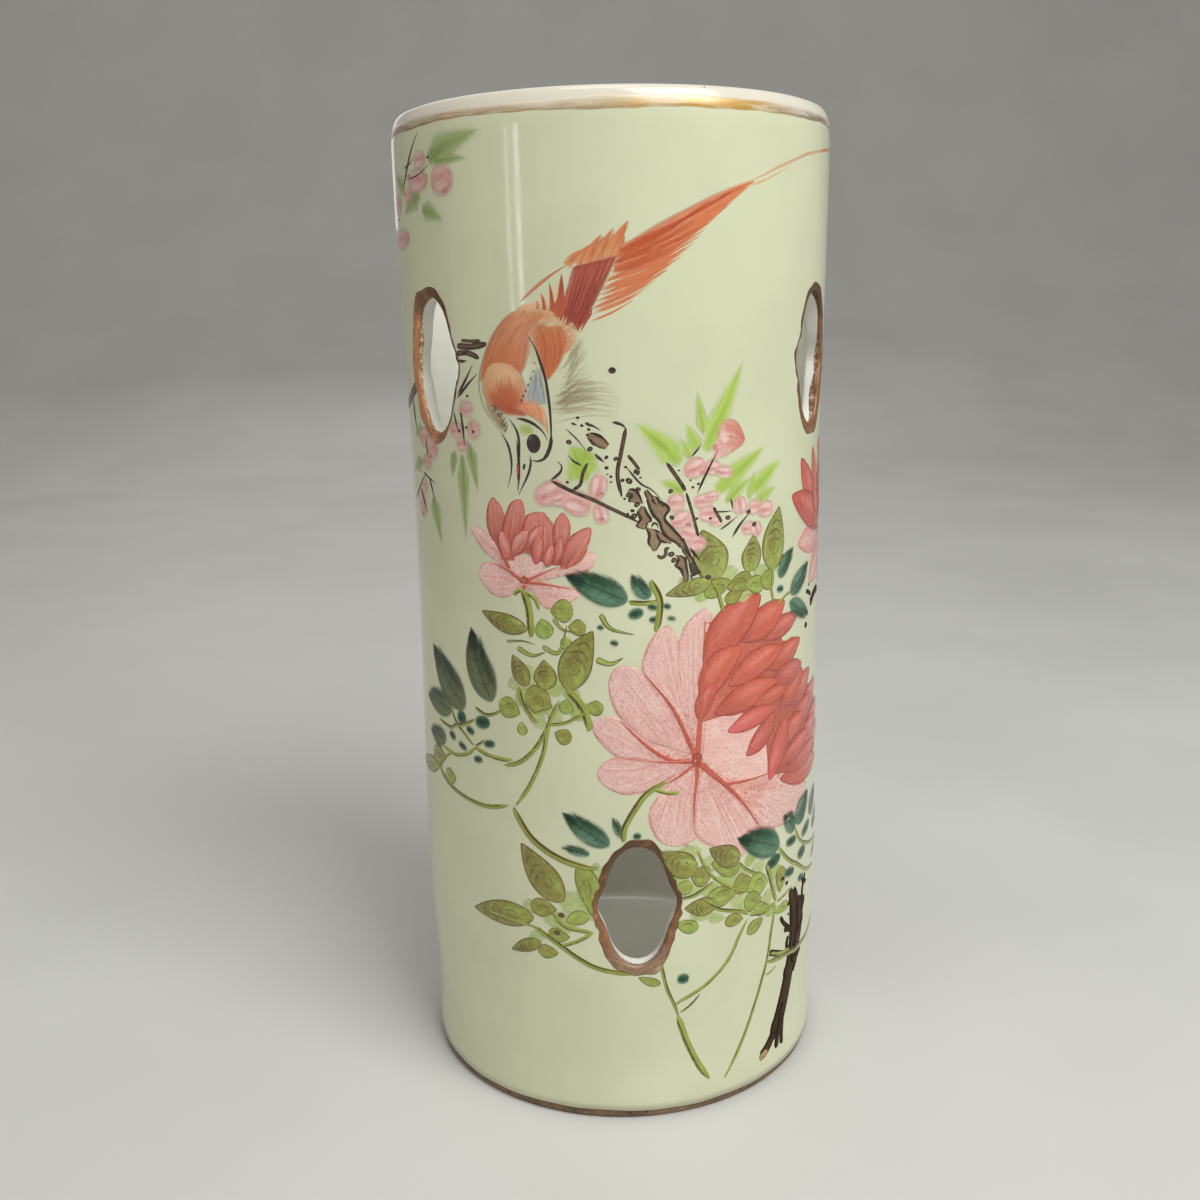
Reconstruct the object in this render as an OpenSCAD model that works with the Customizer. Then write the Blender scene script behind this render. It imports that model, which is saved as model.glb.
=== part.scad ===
// Porcelain hat stand: an open cylinder pierced by six lobed openings.
// It is luted together from two thrown wall sections, a base slab and a foot ring,
// then glazed white inside, laid with a pale green ground outside, gilded and enamelled.
// Lengths are in millimetres and angles in degrees. The stand rests on z = 0 about the z axis.
// The front, with the lower middle opening, faces -y, and angles grow towards +x.

/* [Outline] */
// Height from the table to the crown of the lip
stand_h = 284; // [265:1:320]
// Nominal radius of the wall
body_r = 62; // [56:0.5:75]
// Swell of the mouth over the nominal radius
mouth_out = 0.7; // [0.2:0.1:2]
// Drop from the crown of the lip to the swell of the mouth
lip_drop = 10; // [8:0.5:14]
// Drop from the crown of the lip to the straight bore
throat_drop = 6; // [4:0.5:10]
// Inset of the waist
waist_in = 0.6; // [0:0.1:1.5]
// Height of the waist
waist_z = 172; // [120:1:200]
// Swell of the belly
belly_out = 0.6; // [0:0.1:2]
// Height of the belly
belly_z = 60; // [40:1:100]
// Inset of the ankle, the narrow place above the foot
ankle_in = 0.8; // [0:0.1:1.5]
// Height of the ankle
ankle_z = 18; // [12:1:30]
// Inset at the top of the foot ring
foot_in = 0.3; // [0:0.1:1]

/* [Clay body] */
// Thickness of the wall, from the nominal radius to the bare clay of the bore
wall_t = 4.6; // [3.5:0.1:9]
// Height where the two wall sections are luted together
seam_z = 142; // [110:1:180]
// Thickness of the slip in a luted joint
lute_t = 0.8; // [0.4:0.1:1.5]
// Height of the foot ring
foot_h = 5; // [4:0.5:8]
// Height of the bare clay left at the foot
bare_h = 3; // [1:0.5:3.5]
// Inset of the foot's toe where it meets the table
toe_in = 1; // [0.5:0.1:2]
// Width of the foot ring
foot_w = 10.5; // [8:0.5:20]
// Thickness of the base slab
base_t = 5.7; // [4:0.1:9]
// Radius of the slip cove between floor and wall
cove_r = 3; // [1:0.5:6]

/* [Glaze] */
// Thickness of the pale green ground outside
ground_t = 0.4; // [0.2:0.1:0.8]
// Thickness of the white glaze inside and on the lip
glaze_t = 0.3; // [0.2:0.1:0.6]
// Drop from the crown of the lip to the edge of the green ground
ground_drop = 4.5; // [4:0.5:7]

/* [Openings] */
// Width of an opening
opening_w = 22.8; // [16:0.2:28]
// Height of an opening
opening_h = 36.4; // [26:0.2:40]
// Depth of the lobes of an opening
opening_lobe = 1.4; // [0:0.1:2.6]
// Height of the middle of the lower openings
lower_z = 68; // [50:1:80]
// Height of the middle of the upper openings
upper_z = 217; // [205:1:230]
// Angle of the upper left opening, cut a little towards the front by hand
upper_left_a = -56.5; // [-66:0.5:-54]
// Angle between neighbouring openings of one row
opening_step = 120; // [115:1:125]

/* [Gilding] */
// Thickness of the gilding
gilt_t = 0.15; // [0.1:0.05:0.3]
// Width of a gilt border beside an opening
border_side = 1.3; // [0.8:0.1:3]
// Width of a gilt border above and below an opening
border_end = 2.8; // [1.5:0.1:5]
// Depth of the lobes of a gilt border
border_lobe = 1.2; // [0:0.1:2]
// Width of the gilt line on the lip
lip_gilt_h = 2.6; // [1.5:0.1:4]

/* [Enamel] */
// Relief of the petals
petal_t = 0.5; // [0.2:0.1:0.8]
// Relief of the leaves and blossoms
leaf_t = 0.4; // [0.2:0.1:0.8]
// Relief of the stems and branches
stem_t = 0.3; // [0.2:0.1:0.6]
// Relief of the bird
bird_t = 0.2; // [0.1:0.1:0.5]
// Width of a vine stem
stem_w = 1.2; // [0.8:0.1:2]
// Width of the long tail feather's end
streamer_w = 0.8; // [0.5:0.1:1.5]
// Size of one step of the grid that the painting is laid out on
grid_step = 1; // [0.9:0.01:1.1]

/* [Hidden] */
$fn = 96;
mouth_r = body_r + mouth_out;
waist_r = body_r - waist_in;
belly_r = body_r + belly_out;
ankle_r = body_r - ankle_in;
foot_r = body_r - foot_in;
bore_r = body_r - wall_t;
recess_r = foot_r - ground_t - foot_w;
crown_r = (mouth_r + bore_r - glaze_t) / 2;
mouth_z = stand_h - lip_drop;
throat_z = stand_h - throat_drop;
floor_z = foot_h + base_t;
ground_z = stand_h - ground_drop;
clay_top = stand_h - glaze_t;
lip_fullness = 2.5;      // exponent of the lip's rounded outline
station_step = 12;       // spacing of the outline's stations
outline_steps = 12;      // points along one side of a petal or leaf
curve_steps = 5;         // points between two knots of a curve
lip_steps = 5;           // points along each stretch of the lip
opening_points = 72;     // points round an opening

// Outline of the stand
// The radius of the ground runs in smooth waves between these places
swells = [[foot_h, foot_r], [ankle_z, ankle_r], [belly_z, belly_r], [waist_z, waist_r],
          [mouth_z, mouth_r]];
function ease(u) = (1 - cos(180 * u)) / 2;
function swell_between(a, b, z) = a[1] + (b[1] - a[1]) * ease((z - a[0]) / (b[0] - a[0]));
function skin_r(z, i = 0) =
    z <= swells[0][0] ? foot_r :
    i == len(swells) - 2 || z <= swells[i + 1][0] ? swell_between(swells[i], swells[i + 1], z) :
    skin_r(z, i + 1);
// Every coat and wall follows the same straight steps between these stations
station_n = ceil((mouth_z - foot_h) / station_step);
function station_z(k) = foot_h + (mouth_z - foot_h) * k / station_n;
function stations(low, high) =
    concat([low], [for (k = [0:station_n]) let (z = station_z(k)) if (z > low && z < high) z], [high]);
function wall_r(z) =
    z <= foot_h ? foot_r :
    let (u = (z - foot_h) / (mouth_z - foot_h) * station_n, k = min(floor(u), station_n - 1))
    skin_r(station_z(k)) * (1 - u + k) + skin_r(station_z(k + 1)) * (u - k);
function skin(low, high, out) = [for (z = stations(low, high)) [wall_r(z) + out, z]];
function reversed(list) = [for (i = [len(list) - 1:-1:0]) list[i]];

// The lip is rounded: outside from the swell to the crown, inside from the crown to the bore
function lip_r(edge_r, base_z, top_z, z) =
    crown_r + (edge_r - crown_r)
        * pow(max(0, 1 - pow((z - base_z) / (top_z - base_z), lip_fullness)), 1 / lip_fullness);
function lip_turn(base_z, top_z, z) = asin(pow((z - base_z) / (top_z - base_z), lip_fullness / 2));
function lip_arc(edge_r, base_z, top_z, from_z, to_z) =
    let (t0 = lip_turn(base_z, top_z, from_z), t1 = lip_turn(base_z, top_z, to_z))
    [for (i = [0:lip_steps])
        let (t = t0 + (t1 - t0) * i / lip_steps)
        [crown_r + (edge_r - crown_r) * pow(abs(cos(t)), 2 / lip_fullness),
         base_z + (top_z - base_z) * pow(sin(t), 2 / lip_fullness)]];
function outer_lip(from_z, to_z) = lip_arc(mouth_r, mouth_z, stand_h, from_z, to_z);
function outer_clay(from_z, to_z) = lip_arc(mouth_r - ground_t, mouth_z, clay_top, from_z, to_z);
gilt_low = ground_z - lip_gilt_h / 2;
gilt_high = ground_z + lip_gilt_h / 2;
ground_lip = concat(outer_lip(mouth_z, gilt_low), rest(outer_lip(gilt_low, ground_z)));
glaze_lip = concat(outer_lip(ground_z, gilt_high), rest(outer_lip(gilt_high, stand_h)));
gilt_lip = concat(outer_lip(gilt_low, ground_z), rest(outer_lip(ground_z, gilt_high)));
inner_lip = lip_arc(bore_r - glaze_t, throat_z, stand_h, throat_z, stand_h);
inner_clay = lip_arc(bore_r, throat_z, clay_top, throat_z, clay_top);
function rest(list) = [for (i = [1:len(list) - 1]) list[i]];
function cove(r) =
    [for (a = [0:15:90]) [bore_r - cove_r + r * cos(a), floor_z + cove_r - r * sin(a)]];

// Openings
function lobed(side, end, lobe, t) =
    (side + end) / 2 - lobe + (side - end) / 2 * cos(2 * t) + lobe * cos(4 * t);
function lobed_outline(side, end, lobe) =
    [for (i = [0:opening_points - 1])
        let (t = 360 * i / opening_points, r = lobed(side, end, lobe, t)) [r * cos(t), r * sin(t)]];
hole_outline = lobed_outline(opening_w / 2, opening_h / 2, opening_lobe);
cut_outline = lobed_outline(opening_w / 2 + glaze_t, opening_h / 2 + glaze_t, opening_lobe);
border_outline = lobed_outline(opening_w / 2 + border_side, opening_h / 2 + border_end, border_lobe);
lower_angles = [0, opening_step, -opening_step];
upper_angles = [upper_left_a, opening_step / 2, 180];

// Painting: places are [arc, height] on the wall in grid steps, with the arc counted from the front
function arc_angle(s) = s * grid_step / body_r * 180 / PI;
function flat(p, middle) = [body_r * sin(arc_angle(p[0] - middle)), p[1] * grid_step];
function along(a, b, u, v) =
    let (d = b - a, n = [-d[1], d[0]] / norm(d)) a + d * u + n * v;
// A petal or leaf from base to tip; shape under 1 is widest near the base, over 1 near the tip
function blade(base, tip, w, shape) =
    [for (i = [0:2 * outline_steps - 1])
        let (u = i <= outline_steps ? i / outline_steps : 2 - i / outline_steps,
             side = i <= outline_steps ? 1 : -1)
        along(base, tip, u, side * w / 2 * sin(180 * pow(u, shape)))];
function spline(a, b, c, d, u) =
    b + (c - a) * u / 2 + (2 * a - 5 * b + 4 * c - d) * u * u / 2
        + (3 * (b - c) + d - a) * u * u * u / 2;
function curve(knots) =
    let (n = len(knots) - 1)
    concat([for (i = [0:n - 1]) for (k = [0:curve_steps - 1])
        spline(knots[max(i - 1, 0)], knots[i], knots[i + 1], knots[min(i + 2, n)], k / curve_steps)],
        [knots[n]]);
function ring(knots) =
    let (n = len(knots))
    [for (i = [0:n - 1]) for (k = [0:curve_steps - 1])
        spline(knots[(i + n - 1) % n], knots[i], knots[(i + 1) % n], knots[(i + 2) % n],
               k / curve_steps)];
function side_of(line, i, v) =
    let (n = len(line) - 1, d = line[min(i + 1, n)] - line[max(i - 1, 0)])
    line[i] + [-d[1], d[0]] / norm(d) * v;
function stem(knots, w) =
    let (line = curve(knots), n = len(line) - 1)
    concat([for (i = [0:n]) side_of(line, i, w / 2)], [for (i = [n:-1:0]) side_of(line, i, -w / 2)]);

// Petals and leaves are [base, tip, width]
large_pink = [
    [[17, 112], [-7, 136], 14], [[16, 110], [-12, 121], 10], [[16, 109], [-11, 105], 11],
    [[18, 107], [8, 86], 13], [[19, 107], [27, 82], 17], [[21, 106], [53, 86], 17],
    [[17, 115], [8, 148], 12], [[18, 116], [20, 152], 10], [[18, 112], [40, 112], 18]];
large_coral = [
    [[20, 120], [38, 153], 13], [[26, 128], [50, 150], 11], [[31, 134], [57, 145], 10],
    [[34, 130], [59, 137], 10], [[40, 127], [61, 129], 10], [[46, 122], [67, 126], 10],
    [[48, 116], [76, 121], 11], [[46, 108], [81, 113], 12], [[42, 102], [80, 103], 12],
    [[42, 99], [75, 95], 9], [[25, 123], [46, 128], 9], [[27, 117], [50, 121], 8],
    [[34, 109], [52, 118], 9]];
small_pink = [
    [[-31, 162], [-48, 174], 9], [[-31, 160], [-46, 160], 10], [[-29, 160], [-16, 156], 8],
    [[-28, 162], [-10, 168], 7], [[-30, 159], [-29, 171], 11]];
small_coral = [
    [[-34, 166], [-39, 183], 7], [[-32, 169], [-30, 183], 8], [[-28, 169], [-24, 180], 9],
    [[-24, 166], [-18, 180], 7], [[-23, 164], [-11, 176], 7]];
side_petals = [
    [[78, 168], [58, 190], 11], [[76, 168], [53, 179], 11], [[80, 170], [68, 193], 10],
    [[78, 165], [56, 165], 8], [[80, 162], [66, 152], 10], [[82, 170], [84, 194], 11],
    [[84, 168], [100, 188], 11], [[85, 166], [105, 173], 11], [[84, 163], [98, 154], 10]];
green_leaves = [
    [[24, 161], [19, 173], 9], [[33, 162], [36, 171], 7], [[42, 160], [45, 176], 8],
    [[20, 158], [9, 157], 4], [[-31, 148], [-45, 151], 6], [[-26, 131], [-25, 140], 7],
    [[-30, 133], [-34, 140], 5], [[-17, 131], [-11, 147], 8], [[-33, 125], [-39, 123], 5],
    [[-24, 124], [-29, 129], 6], [[-22, 69], [-33, 85], 9], [[-30, 60], [-52, 60], 8],
    [[-27, 56], [-38, 51], 4], [[13, 74], [7, 84], 8], [[30, 75], [21, 81], 6],
    [[22, 64], [12, 69], 6], [[42, 66], [35, 71], 6], [[36, 62], [29, 59], 5]];
teal_leaves = [
    [[-2, 156], [-19, 163], 9], [[6, 157], [0, 163], 4], [[-50, 125], [-70, 136], 12],
    [[-41, 126], [-49, 145], 11], [[-61, 117], [-78, 119], 9], [[-66, 109], [-76, 109], 7],
    [[-8, 86], [-21, 96], 7], [[46, 75], [30, 84], 9], [[53, 80], [49, 85], 5],
    [[58, 81], [66, 87], 6], [[48, 157], [55, 164], 6], [[53, 154], [66, 159], 6],
    [[66, 145], [53, 149], 6]];
bamboo_leaves = [
    [[20, 194], [32, 219], 4], [[14, 192], [1, 202], 4], [[19, 196], [17, 209], 3],
    [[22, 186], [40, 195], 4], [[28, 184], [47, 191], 3], [[-51, 197], [-50, 172], 4],
    [[-68, 184], [-62, 166], 4], [[-60, 268], [-40, 273], 5], [[-68, 262], [-56, 255], 4]];
blossom_petals = [
    [[-17, 186], [-25, 184], 7], [[-14, 184], [-13, 179], 6], [[-10, 183], [-7, 189], 5],
    [[22, 195], [31, 198], 9], [[19, 189], [15, 192], 5], [[20, 189], [27, 189], 4],
    [[14, 179], [9, 182], 6], [[16, 175], [11, 174], 6], [[17, 180], [24, 181], 6],
    [[31, 179], [29, 182], 4], [[36, 177], [43, 177], 6], [[33, 174], [38, 171], 4],
    [[-48, 201], [-43, 203], 6], [[-50, 199], [-54, 202], 6], [[-66, 194], [-61, 192], 7],
    [[-70, 192], [-75, 195], 7], [[-73, 180], [-79, 177], 7], [[-74, 178], [-75, 171], 6],
    [[-57, 268], [-48, 263], 9], [[-60, 266], [-58, 260], 7], [[-62, 265], [-70, 264], 6],
    [[-76, 257], [-84, 253], 8], [[-77, 262], [-84, 262], 6]];
vines = [
    [[-30, 159], [-28, 153], [-29, 145]], [[-29, 143], [-26, 140], [-21, 143], [-19, 149]],
    [[-24, 122], [-27, 108], [-35, 96]], [[-34, 94], [-29, 87], [-21, 82], [-12, 80]],
    [[-37, 95], [-46, 94], [-56, 94], [-66, 96]],
    [[-27, 117], [-33, 109], [-40, 107], [-50, 111], [-57, 115]],
    [[9, 104], [2, 102], [-3, 94], [-3, 90]], [[-24, 56], [-16, 50], [-6, 47], [1, 46]],
    [[-1, 156], [4, 155], [7, 150]], [[25, 160], [29, 157], [38, 158], [43, 154]],
    [[9, 40], [16, 40], [26, 46], [33, 58]], [[6, 46], [10, 35], [15, 22], [21, 10]],
    [[45, 60], [44, 48], [40, 34], [33, 18], [26, 9]]];
blossom_twigs = [
    [[-22, 188], [-14, 185], [-6, 181], [2, 176]], [[9, 192], [14, 186], [16, 179], [18, 173]],
    [[24, 195], [20, 188], [18, 184]], [[25, 174], [30, 177]], [[29, 172], [34, 178]],
    [[-39, 222], [-45, 221], [-49, 221]], [[-90, 206], [-80, 208], [-72, 212]]];
old_branch = [
    [-2, 199], [0, 202], [-1, 196], [-3, 188], [0, 185], [6, 184], [10, 177], [15, 170],
    [19, 163], [15, 160], [11, 165], [5, 171], [1, 178], [-3, 185], [-5, 191]];
trunk = [
    [54, 61], [58, 61], [61, 52], [62, 42], [58, 33], [55, 22], [52, 9], [49, 11], [44, 10], [40, 9],
    [46, 16], [51, 27], [54, 38], [55, 48]];
bird_body = [
    [-19, 224], [-14, 226], [-16, 232], [-24, 234], [-33, 228], [-40, 218], [-42, 211],
    [-39, 206], [-34, 204], [-27, 204], [-22, 208], [-21, 213], [-20, 219]];
bird_wing = [[-13, 226], [-2, 244], [0, 252], [-8, 246], [-15, 242], [-21, 237], [-17, 231]];
bird_head = [
    [-21, 205], [-22, 197], [-25, 193], [-28, 194], [-32, 187], [-36, 184], [-33, 193],
    [-34, 199], [-32, 203]];
bird_plume = [
    [-9, 227], [0, 231], [12, 243], [24, 253], [34, 260], [44, 266], [30, 261], [14, 254],
    [2, 247], [-4, 236]];
bird_streamer = [[44, 266], [54, 269], [66, 271], [78, 272]];

// Building blocks
module turned(points) rotate_extrude() polygon(points);
// A prism that runs from the axis out past the wall at an angle round the stand
reach = 2 * max(mouth_r, belly_r);
module outward(angle, z)
    rotate([0, 0, angle]) translate([0, 0, z]) rotate([90, 0, 0]) linear_extrude(reach) children();
module at_openings() {
    for (a = lower_angles) outward(a, lower_z) children();
    for (a = upper_angles) outward(a, upper_z) children();
}
// A coat on the ground between two heights
module coat(low, high, t) turned(concat(skin(low, high, 0), reversed(skin(low, high, t))));

// A coat in the shape of its flat children, which are drawn about the arc in $middle.
// The heights it spans are those of the listed places, with a margin for their width.
span_margin = 12;
function heights(list) =
    [for (e = list) each is_num(e[0]) ? [e[1]] : heights([for (q = e) if (is_list(q)) q])];
function span(list) =
    let (z = heights(list))
    [max(bare_h, (min(z) - span_margin) * grid_step), min(mouth_z, (max(z) + span_margin) * grid_step)];
module painted(list, t, middle) {
    $middle = middle;
    intersection() {
        coat(span(list)[0], span(list)[1], t);
        outward(arc_angle(middle), 0) difference() {
            children();
            for (a = lower_angles) border_place(a, lower_z);
            for (a = upper_angles) border_place(a, upper_z);
        }
    }
}
module shape(points) polygon([for (p = points) flat(p, $middle)]);
module border_place(angle, z)
    if (abs(angle - arc_angle($middle)) < border_view)
        shape([for (p = border_outline) (p + [angle * PI / 180 * body_r, z]) / grid_step]);
border_view = 75;        // openings farther round than this don't reach a sector's painting
// Painting that goes far round the stand is laid on in sectors, each list entry where it begins
sectors = [-75, -25, 25, 75];
sector_half = 25;
function here(list, middle) =
    [for (e = list) if (e[0][0] > middle - sector_half && e[0][0] <= middle + sector_half) e];
function sectors_of(list) = [for (m = sectors) if (len(here(list, m)) > 0) m];
module blades(list, form) for (b = list) shape(blade(b[0], b[1], b[2], form));
module stems(list, w) for (s = list) shape(stem(s, w / grid_step));
petal_form = 1.25;
leaf_form = 0.85;

// Clay body
module foot_ring() color("peru") {
    clay_r = foot_r - ground_t;
    turned([[recess_r, 0], [clay_r - toe_in, 0], [clay_r - toe_in / 4, bare_h / 3], [clay_r, bare_h],
            [clay_r, foot_h], [recess_r, foot_h]]);
}
module base_slab() color("ivory") translate([0, 0, foot_h]) cylinder(h = base_t, r = bore_r - lute_t);
module base_lute() color("linen")
    turned(concat([[bore_r - lute_t, foot_h], [bore_r, foot_h]], cove(cove_r),
                  [[bore_r - lute_t, floor_z]]));
module lower_wall() color("ivory") difference() {
    top = seam_z - lute_t / 2;
    turned(concat([[bore_r, foot_h]], skin(foot_h, top, -ground_t), [[bore_r, top]]));
    at_openings() polygon(cut_outline);
}
module wall_lute() color("linen") {
    low = seam_z - lute_t / 2;
    high = seam_z + lute_t / 2;
    turned(concat([[bore_r, low]], skin(low, high, -ground_t), [[bore_r, high]]));
}
module upper_wall() color("ivory") difference() {
    low = seam_z + lute_t / 2;
    turned(concat([[bore_r, low]], skin(low, mouth_z, -ground_t), rest(outer_clay(mouth_z, ground_z)),
                  rest(outer_clay(ground_z, clay_top)), rest(reversed(inner_clay))));
    at_openings() polygon(cut_outline);
}

// Glaze and gilding
module green_ground() color("honeydew") difference() {
    turned(concat(skin(bare_h, mouth_z, 0), rest(ground_lip),
                  reversed(outer_clay(mouth_z, ground_z)),
                  rest(reversed(skin(bare_h, mouth_z, -ground_t)))));
    at_openings() polygon(cut_outline);
}
// The white glaze lines the floor, the bore and the openings and runs over the lip
module white_glaze() color("white") {
    below = lower_z - opening_h;
    above = upper_z + opening_h;
    difference() {
        turned(concat([[0, floor_z]], reversed(cove(cove_r)), inner_clay,
                      rest(reversed(outer_clay(ground_z, clay_top))), glaze_lip,
                      rest(reversed(inner_lip)), cove(cove_r - glaze_t), [[0, floor_z + glaze_t]]));
        at_openings() polygon(cut_outline);
    }
    intersection() {
        turned(concat([[bore_r - glaze_t, below]], skin(below, above, 0), [[bore_r - glaze_t, above]]));
        at_openings() difference() {
            polygon(cut_outline);
            polygon(hole_outline);
        }
    }
}
module lip_gilding() color("goldenrod")
    turned(concat(gilt_lip, reversed([for (p = gilt_lip) p + [gilt_t, 0]])));
module gilt_border(angle, z) color("sienna") intersection() {
    coat(z - opening_h, z + opening_h, gilt_t);
    outward(angle, z) difference() {
        polygon(border_outline);
        polygon(cut_outline);
    }
}
module lower_front_border() gilt_border(lower_angles[0], lower_z);
module lower_right_border() gilt_border(lower_angles[1], lower_z);
module lower_left_border() gilt_border(lower_angles[2], lower_z);
module upper_left_border() gilt_border(upper_angles[0], upper_z);
module upper_right_border() gilt_border(upper_angles[1], upper_z);
module upper_rear_border() gilt_border(upper_angles[2], upper_z);

// Bird
bird_middle = -20;
tail_middle = 30;
module bird_body() color("orange") painted(bird_body, bird_t, bird_middle) difference() {
    shape(ring(bird_body));
    shape(ring(bird_wing));
    shape(ring(bird_head));
}
module bird_wing() color("firebrick") painted(bird_wing, bird_t, bird_middle) shape(ring(bird_wing));
module bird_head() color("lightsteelblue") painted(bird_head, bird_t, bird_middle) shape(ring(bird_head));
module bird_tail() color("tan")
    painted(concat(bird_plume, bird_streamer), bird_t, tail_middle) difference() {
        union() {
            shape(ring(bird_plume));
            shape(stem(bird_streamer, streamer_w / grid_step));
        }
        shape(ring(bird_wing));
        shape(ring(bird_body));
    }

// Peonies
large_middle = 30;
small_middle = -30;
side_middle = 80;
branch_middle = 0;
trunk_middle = 50;
module flower_places() {
    blades(large_pink, petal_form);
    blades(large_coral, leaf_form);
    blades(small_pink, petal_form);
    blades(small_coral, petal_form);
    if ($middle > 0) blades(side_petals, petal_form);
}
module large_peony_petals() color("pink") painted(large_pink, petal_t, large_middle) difference() {
    blades(large_pink, petal_form);
    blades(large_coral, leaf_form);
}
module large_peony_heart() color("coral") painted(large_coral, petal_t, large_middle)
    blades(large_coral, leaf_form);
module small_peony_petals() color("pink") painted(small_pink, petal_t, small_middle) difference() {
    blades(small_pink, petal_form);
    blades(small_coral, petal_form);
}
module small_peony_heart() color("coral") painted(small_coral, petal_t, small_middle)
    blades(small_coral, petal_form);
module side_peony_petals() color("coral") painted(side_petals, petal_t, side_middle)
    blades(side_petals, petal_form);

// Leaves, blossoms and stems
module green_leaves() color("olivedrab")
    for (m = sectors_of(green_leaves)) painted(here(green_leaves, m), leaf_t, m) difference() {
        blades(here(green_leaves, m), leaf_form);
        flower_places();
    }
module teal_leaves() color("teal")
    for (m = sectors_of(teal_leaves)) painted(here(teal_leaves, m), leaf_t, m) difference() {
        blades(here(teal_leaves, m), leaf_form);
        flower_places();
        blades(green_leaves, leaf_form);
    }
module bamboo_leaves() color("yellowgreen")
    for (m = sectors_of(bamboo_leaves)) painted(here(bamboo_leaves, m), leaf_t, m) difference() {
        blades(here(bamboo_leaves, m), leaf_form);
        blades(blossom_petals, petal_form);
    }
module blossom_petals() color("lightpink")
    for (m = sectors_of(blossom_petals)) painted(here(blossom_petals, m), leaf_t, m) difference() {
        blades(here(blossom_petals, m), petal_form);
        flower_places();
    }
module blossom_twigs() color("saddlebrown")
    for (m = sectors_of(blossom_twigs)) painted(here(blossom_twigs, m), stem_t, m) difference() {
        stems(here(blossom_twigs, m), stem_w);
        blades(blossom_petals, petal_form);
        blades(bamboo_leaves, leaf_form);
        shape(ring(old_branch));
        shape(ring(bird_body));
    }
module old_branch() color("saddlebrown") painted(old_branch, stem_t, branch_middle) difference() {
    shape(ring(old_branch));
    blades(blossom_petals, petal_form);
    blades(bamboo_leaves, leaf_form);
    blades(green_leaves, leaf_form);
}
module trunk() color("saddlebrown") painted(trunk, stem_t, trunk_middle) difference() {
    shape(ring(trunk));
    blades(teal_leaves, leaf_form);
}
module vine_stems() color("seagreen")
    for (m = sectors_of(vines)) painted(here(vines, m), stem_t, m) difference() {
        stems(here(vines, m), stem_w);
        flower_places();
        blades(green_leaves, leaf_form);
        blades(teal_leaves, leaf_form);
        shape(ring(trunk));
    }

foot_ring();
base_slab();
base_lute();
lower_wall();
wall_lute();
upper_wall();
green_ground();
white_glaze();
lip_gilding();
lower_front_border();
lower_right_border();
lower_left_border();
upper_left_border();
upper_right_border();
upper_rear_border();
bird_body();
bird_wing();
bird_head();
bird_tail();
large_peony_petals();
large_peony_heart();
small_peony_petals();
small_peony_heart();
side_peony_petals();
green_leaves();
teal_leaves();
bamboo_leaves();
blossom_petals();
blossom_twigs();
old_branch();
trunk();
vine_stems();
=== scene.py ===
"""Porcelain hat stand: a pierced cylinder with a pale green ground, gilt edges and bird-and-peony enamels."""
import math
import random

import bpy
import numpy as np
from bpy.props import FloatProperty, FloatVectorProperty, PointerProperty
from mathutils import Matrix, Vector


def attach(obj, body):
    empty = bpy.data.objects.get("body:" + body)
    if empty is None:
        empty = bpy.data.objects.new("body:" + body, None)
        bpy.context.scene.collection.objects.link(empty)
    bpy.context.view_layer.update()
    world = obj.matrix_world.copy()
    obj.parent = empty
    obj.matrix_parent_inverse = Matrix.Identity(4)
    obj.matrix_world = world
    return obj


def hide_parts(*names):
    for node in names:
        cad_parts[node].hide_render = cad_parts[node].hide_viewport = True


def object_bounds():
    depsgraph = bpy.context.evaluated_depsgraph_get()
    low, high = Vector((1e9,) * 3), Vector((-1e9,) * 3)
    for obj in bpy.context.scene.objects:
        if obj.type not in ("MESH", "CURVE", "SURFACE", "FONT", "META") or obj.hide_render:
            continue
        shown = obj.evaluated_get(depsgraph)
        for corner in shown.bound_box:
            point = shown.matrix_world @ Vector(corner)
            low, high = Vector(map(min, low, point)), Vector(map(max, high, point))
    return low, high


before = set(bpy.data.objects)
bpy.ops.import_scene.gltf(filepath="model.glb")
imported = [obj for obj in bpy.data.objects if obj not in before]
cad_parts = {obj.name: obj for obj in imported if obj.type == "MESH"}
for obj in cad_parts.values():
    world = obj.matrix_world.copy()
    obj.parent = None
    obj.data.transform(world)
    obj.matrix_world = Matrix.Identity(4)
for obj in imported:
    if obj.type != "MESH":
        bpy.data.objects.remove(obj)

CAD_BOX = [list(corner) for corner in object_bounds()]

bl_info = {
    "name": "Porcelain hat stand",
    "version": (1, 0, 0),
    "blender": (4, 5, 0),
    "location": "View3D > Sidebar > Hat stand",
    "description": "Glazes, gilds and paints the pierced porcelain hat stand around its solids",
    "category": "Object",
}

MM = 0.001
BODY = "root"

# Each opening: name, degrees round from the front to the right, height of its middle in millimetres, and
# how much wider its border is to the left and to the bottom
# The lean to the left also brightens that side of the border as a painted highlight.
OPENINGS = (
    ("lower_front", 0.0, 68.0, 0.1, 0.2),
    ("lower_right", 120.0, 68.0, -0.2, 0.3),
    ("lower_left", -120.0, 68.0, 0.2, 0.35),
    ("upper_left", -56.5, 217.0, 0.75, -0.1),
    ("upper_right", 60.0, 217.0, -0.4, 0.2),
    ("upper_rear", 180.0, 217.0, 0.1, 0.3),
)
COLUMNS = 240        # faces round the turned skins
ROW_STEP = 2.2       # millimetres between their rows
WINDOW_TURN = 18.0   # degrees to each side of an opening that its collar fills
WINDOW_RISE = 25.0   # millimetres above and below its middle


def srgb(red, green, blue):
    """A colour as read on a screen, 0 to 255, as linear light."""
    share = [c / 255 for c in (red, green, blue)]
    return tuple(c / 12.92 if c <= 0.04045 else ((c + 0.055) / 1.055) ** 2.4 for c in share)


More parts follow.
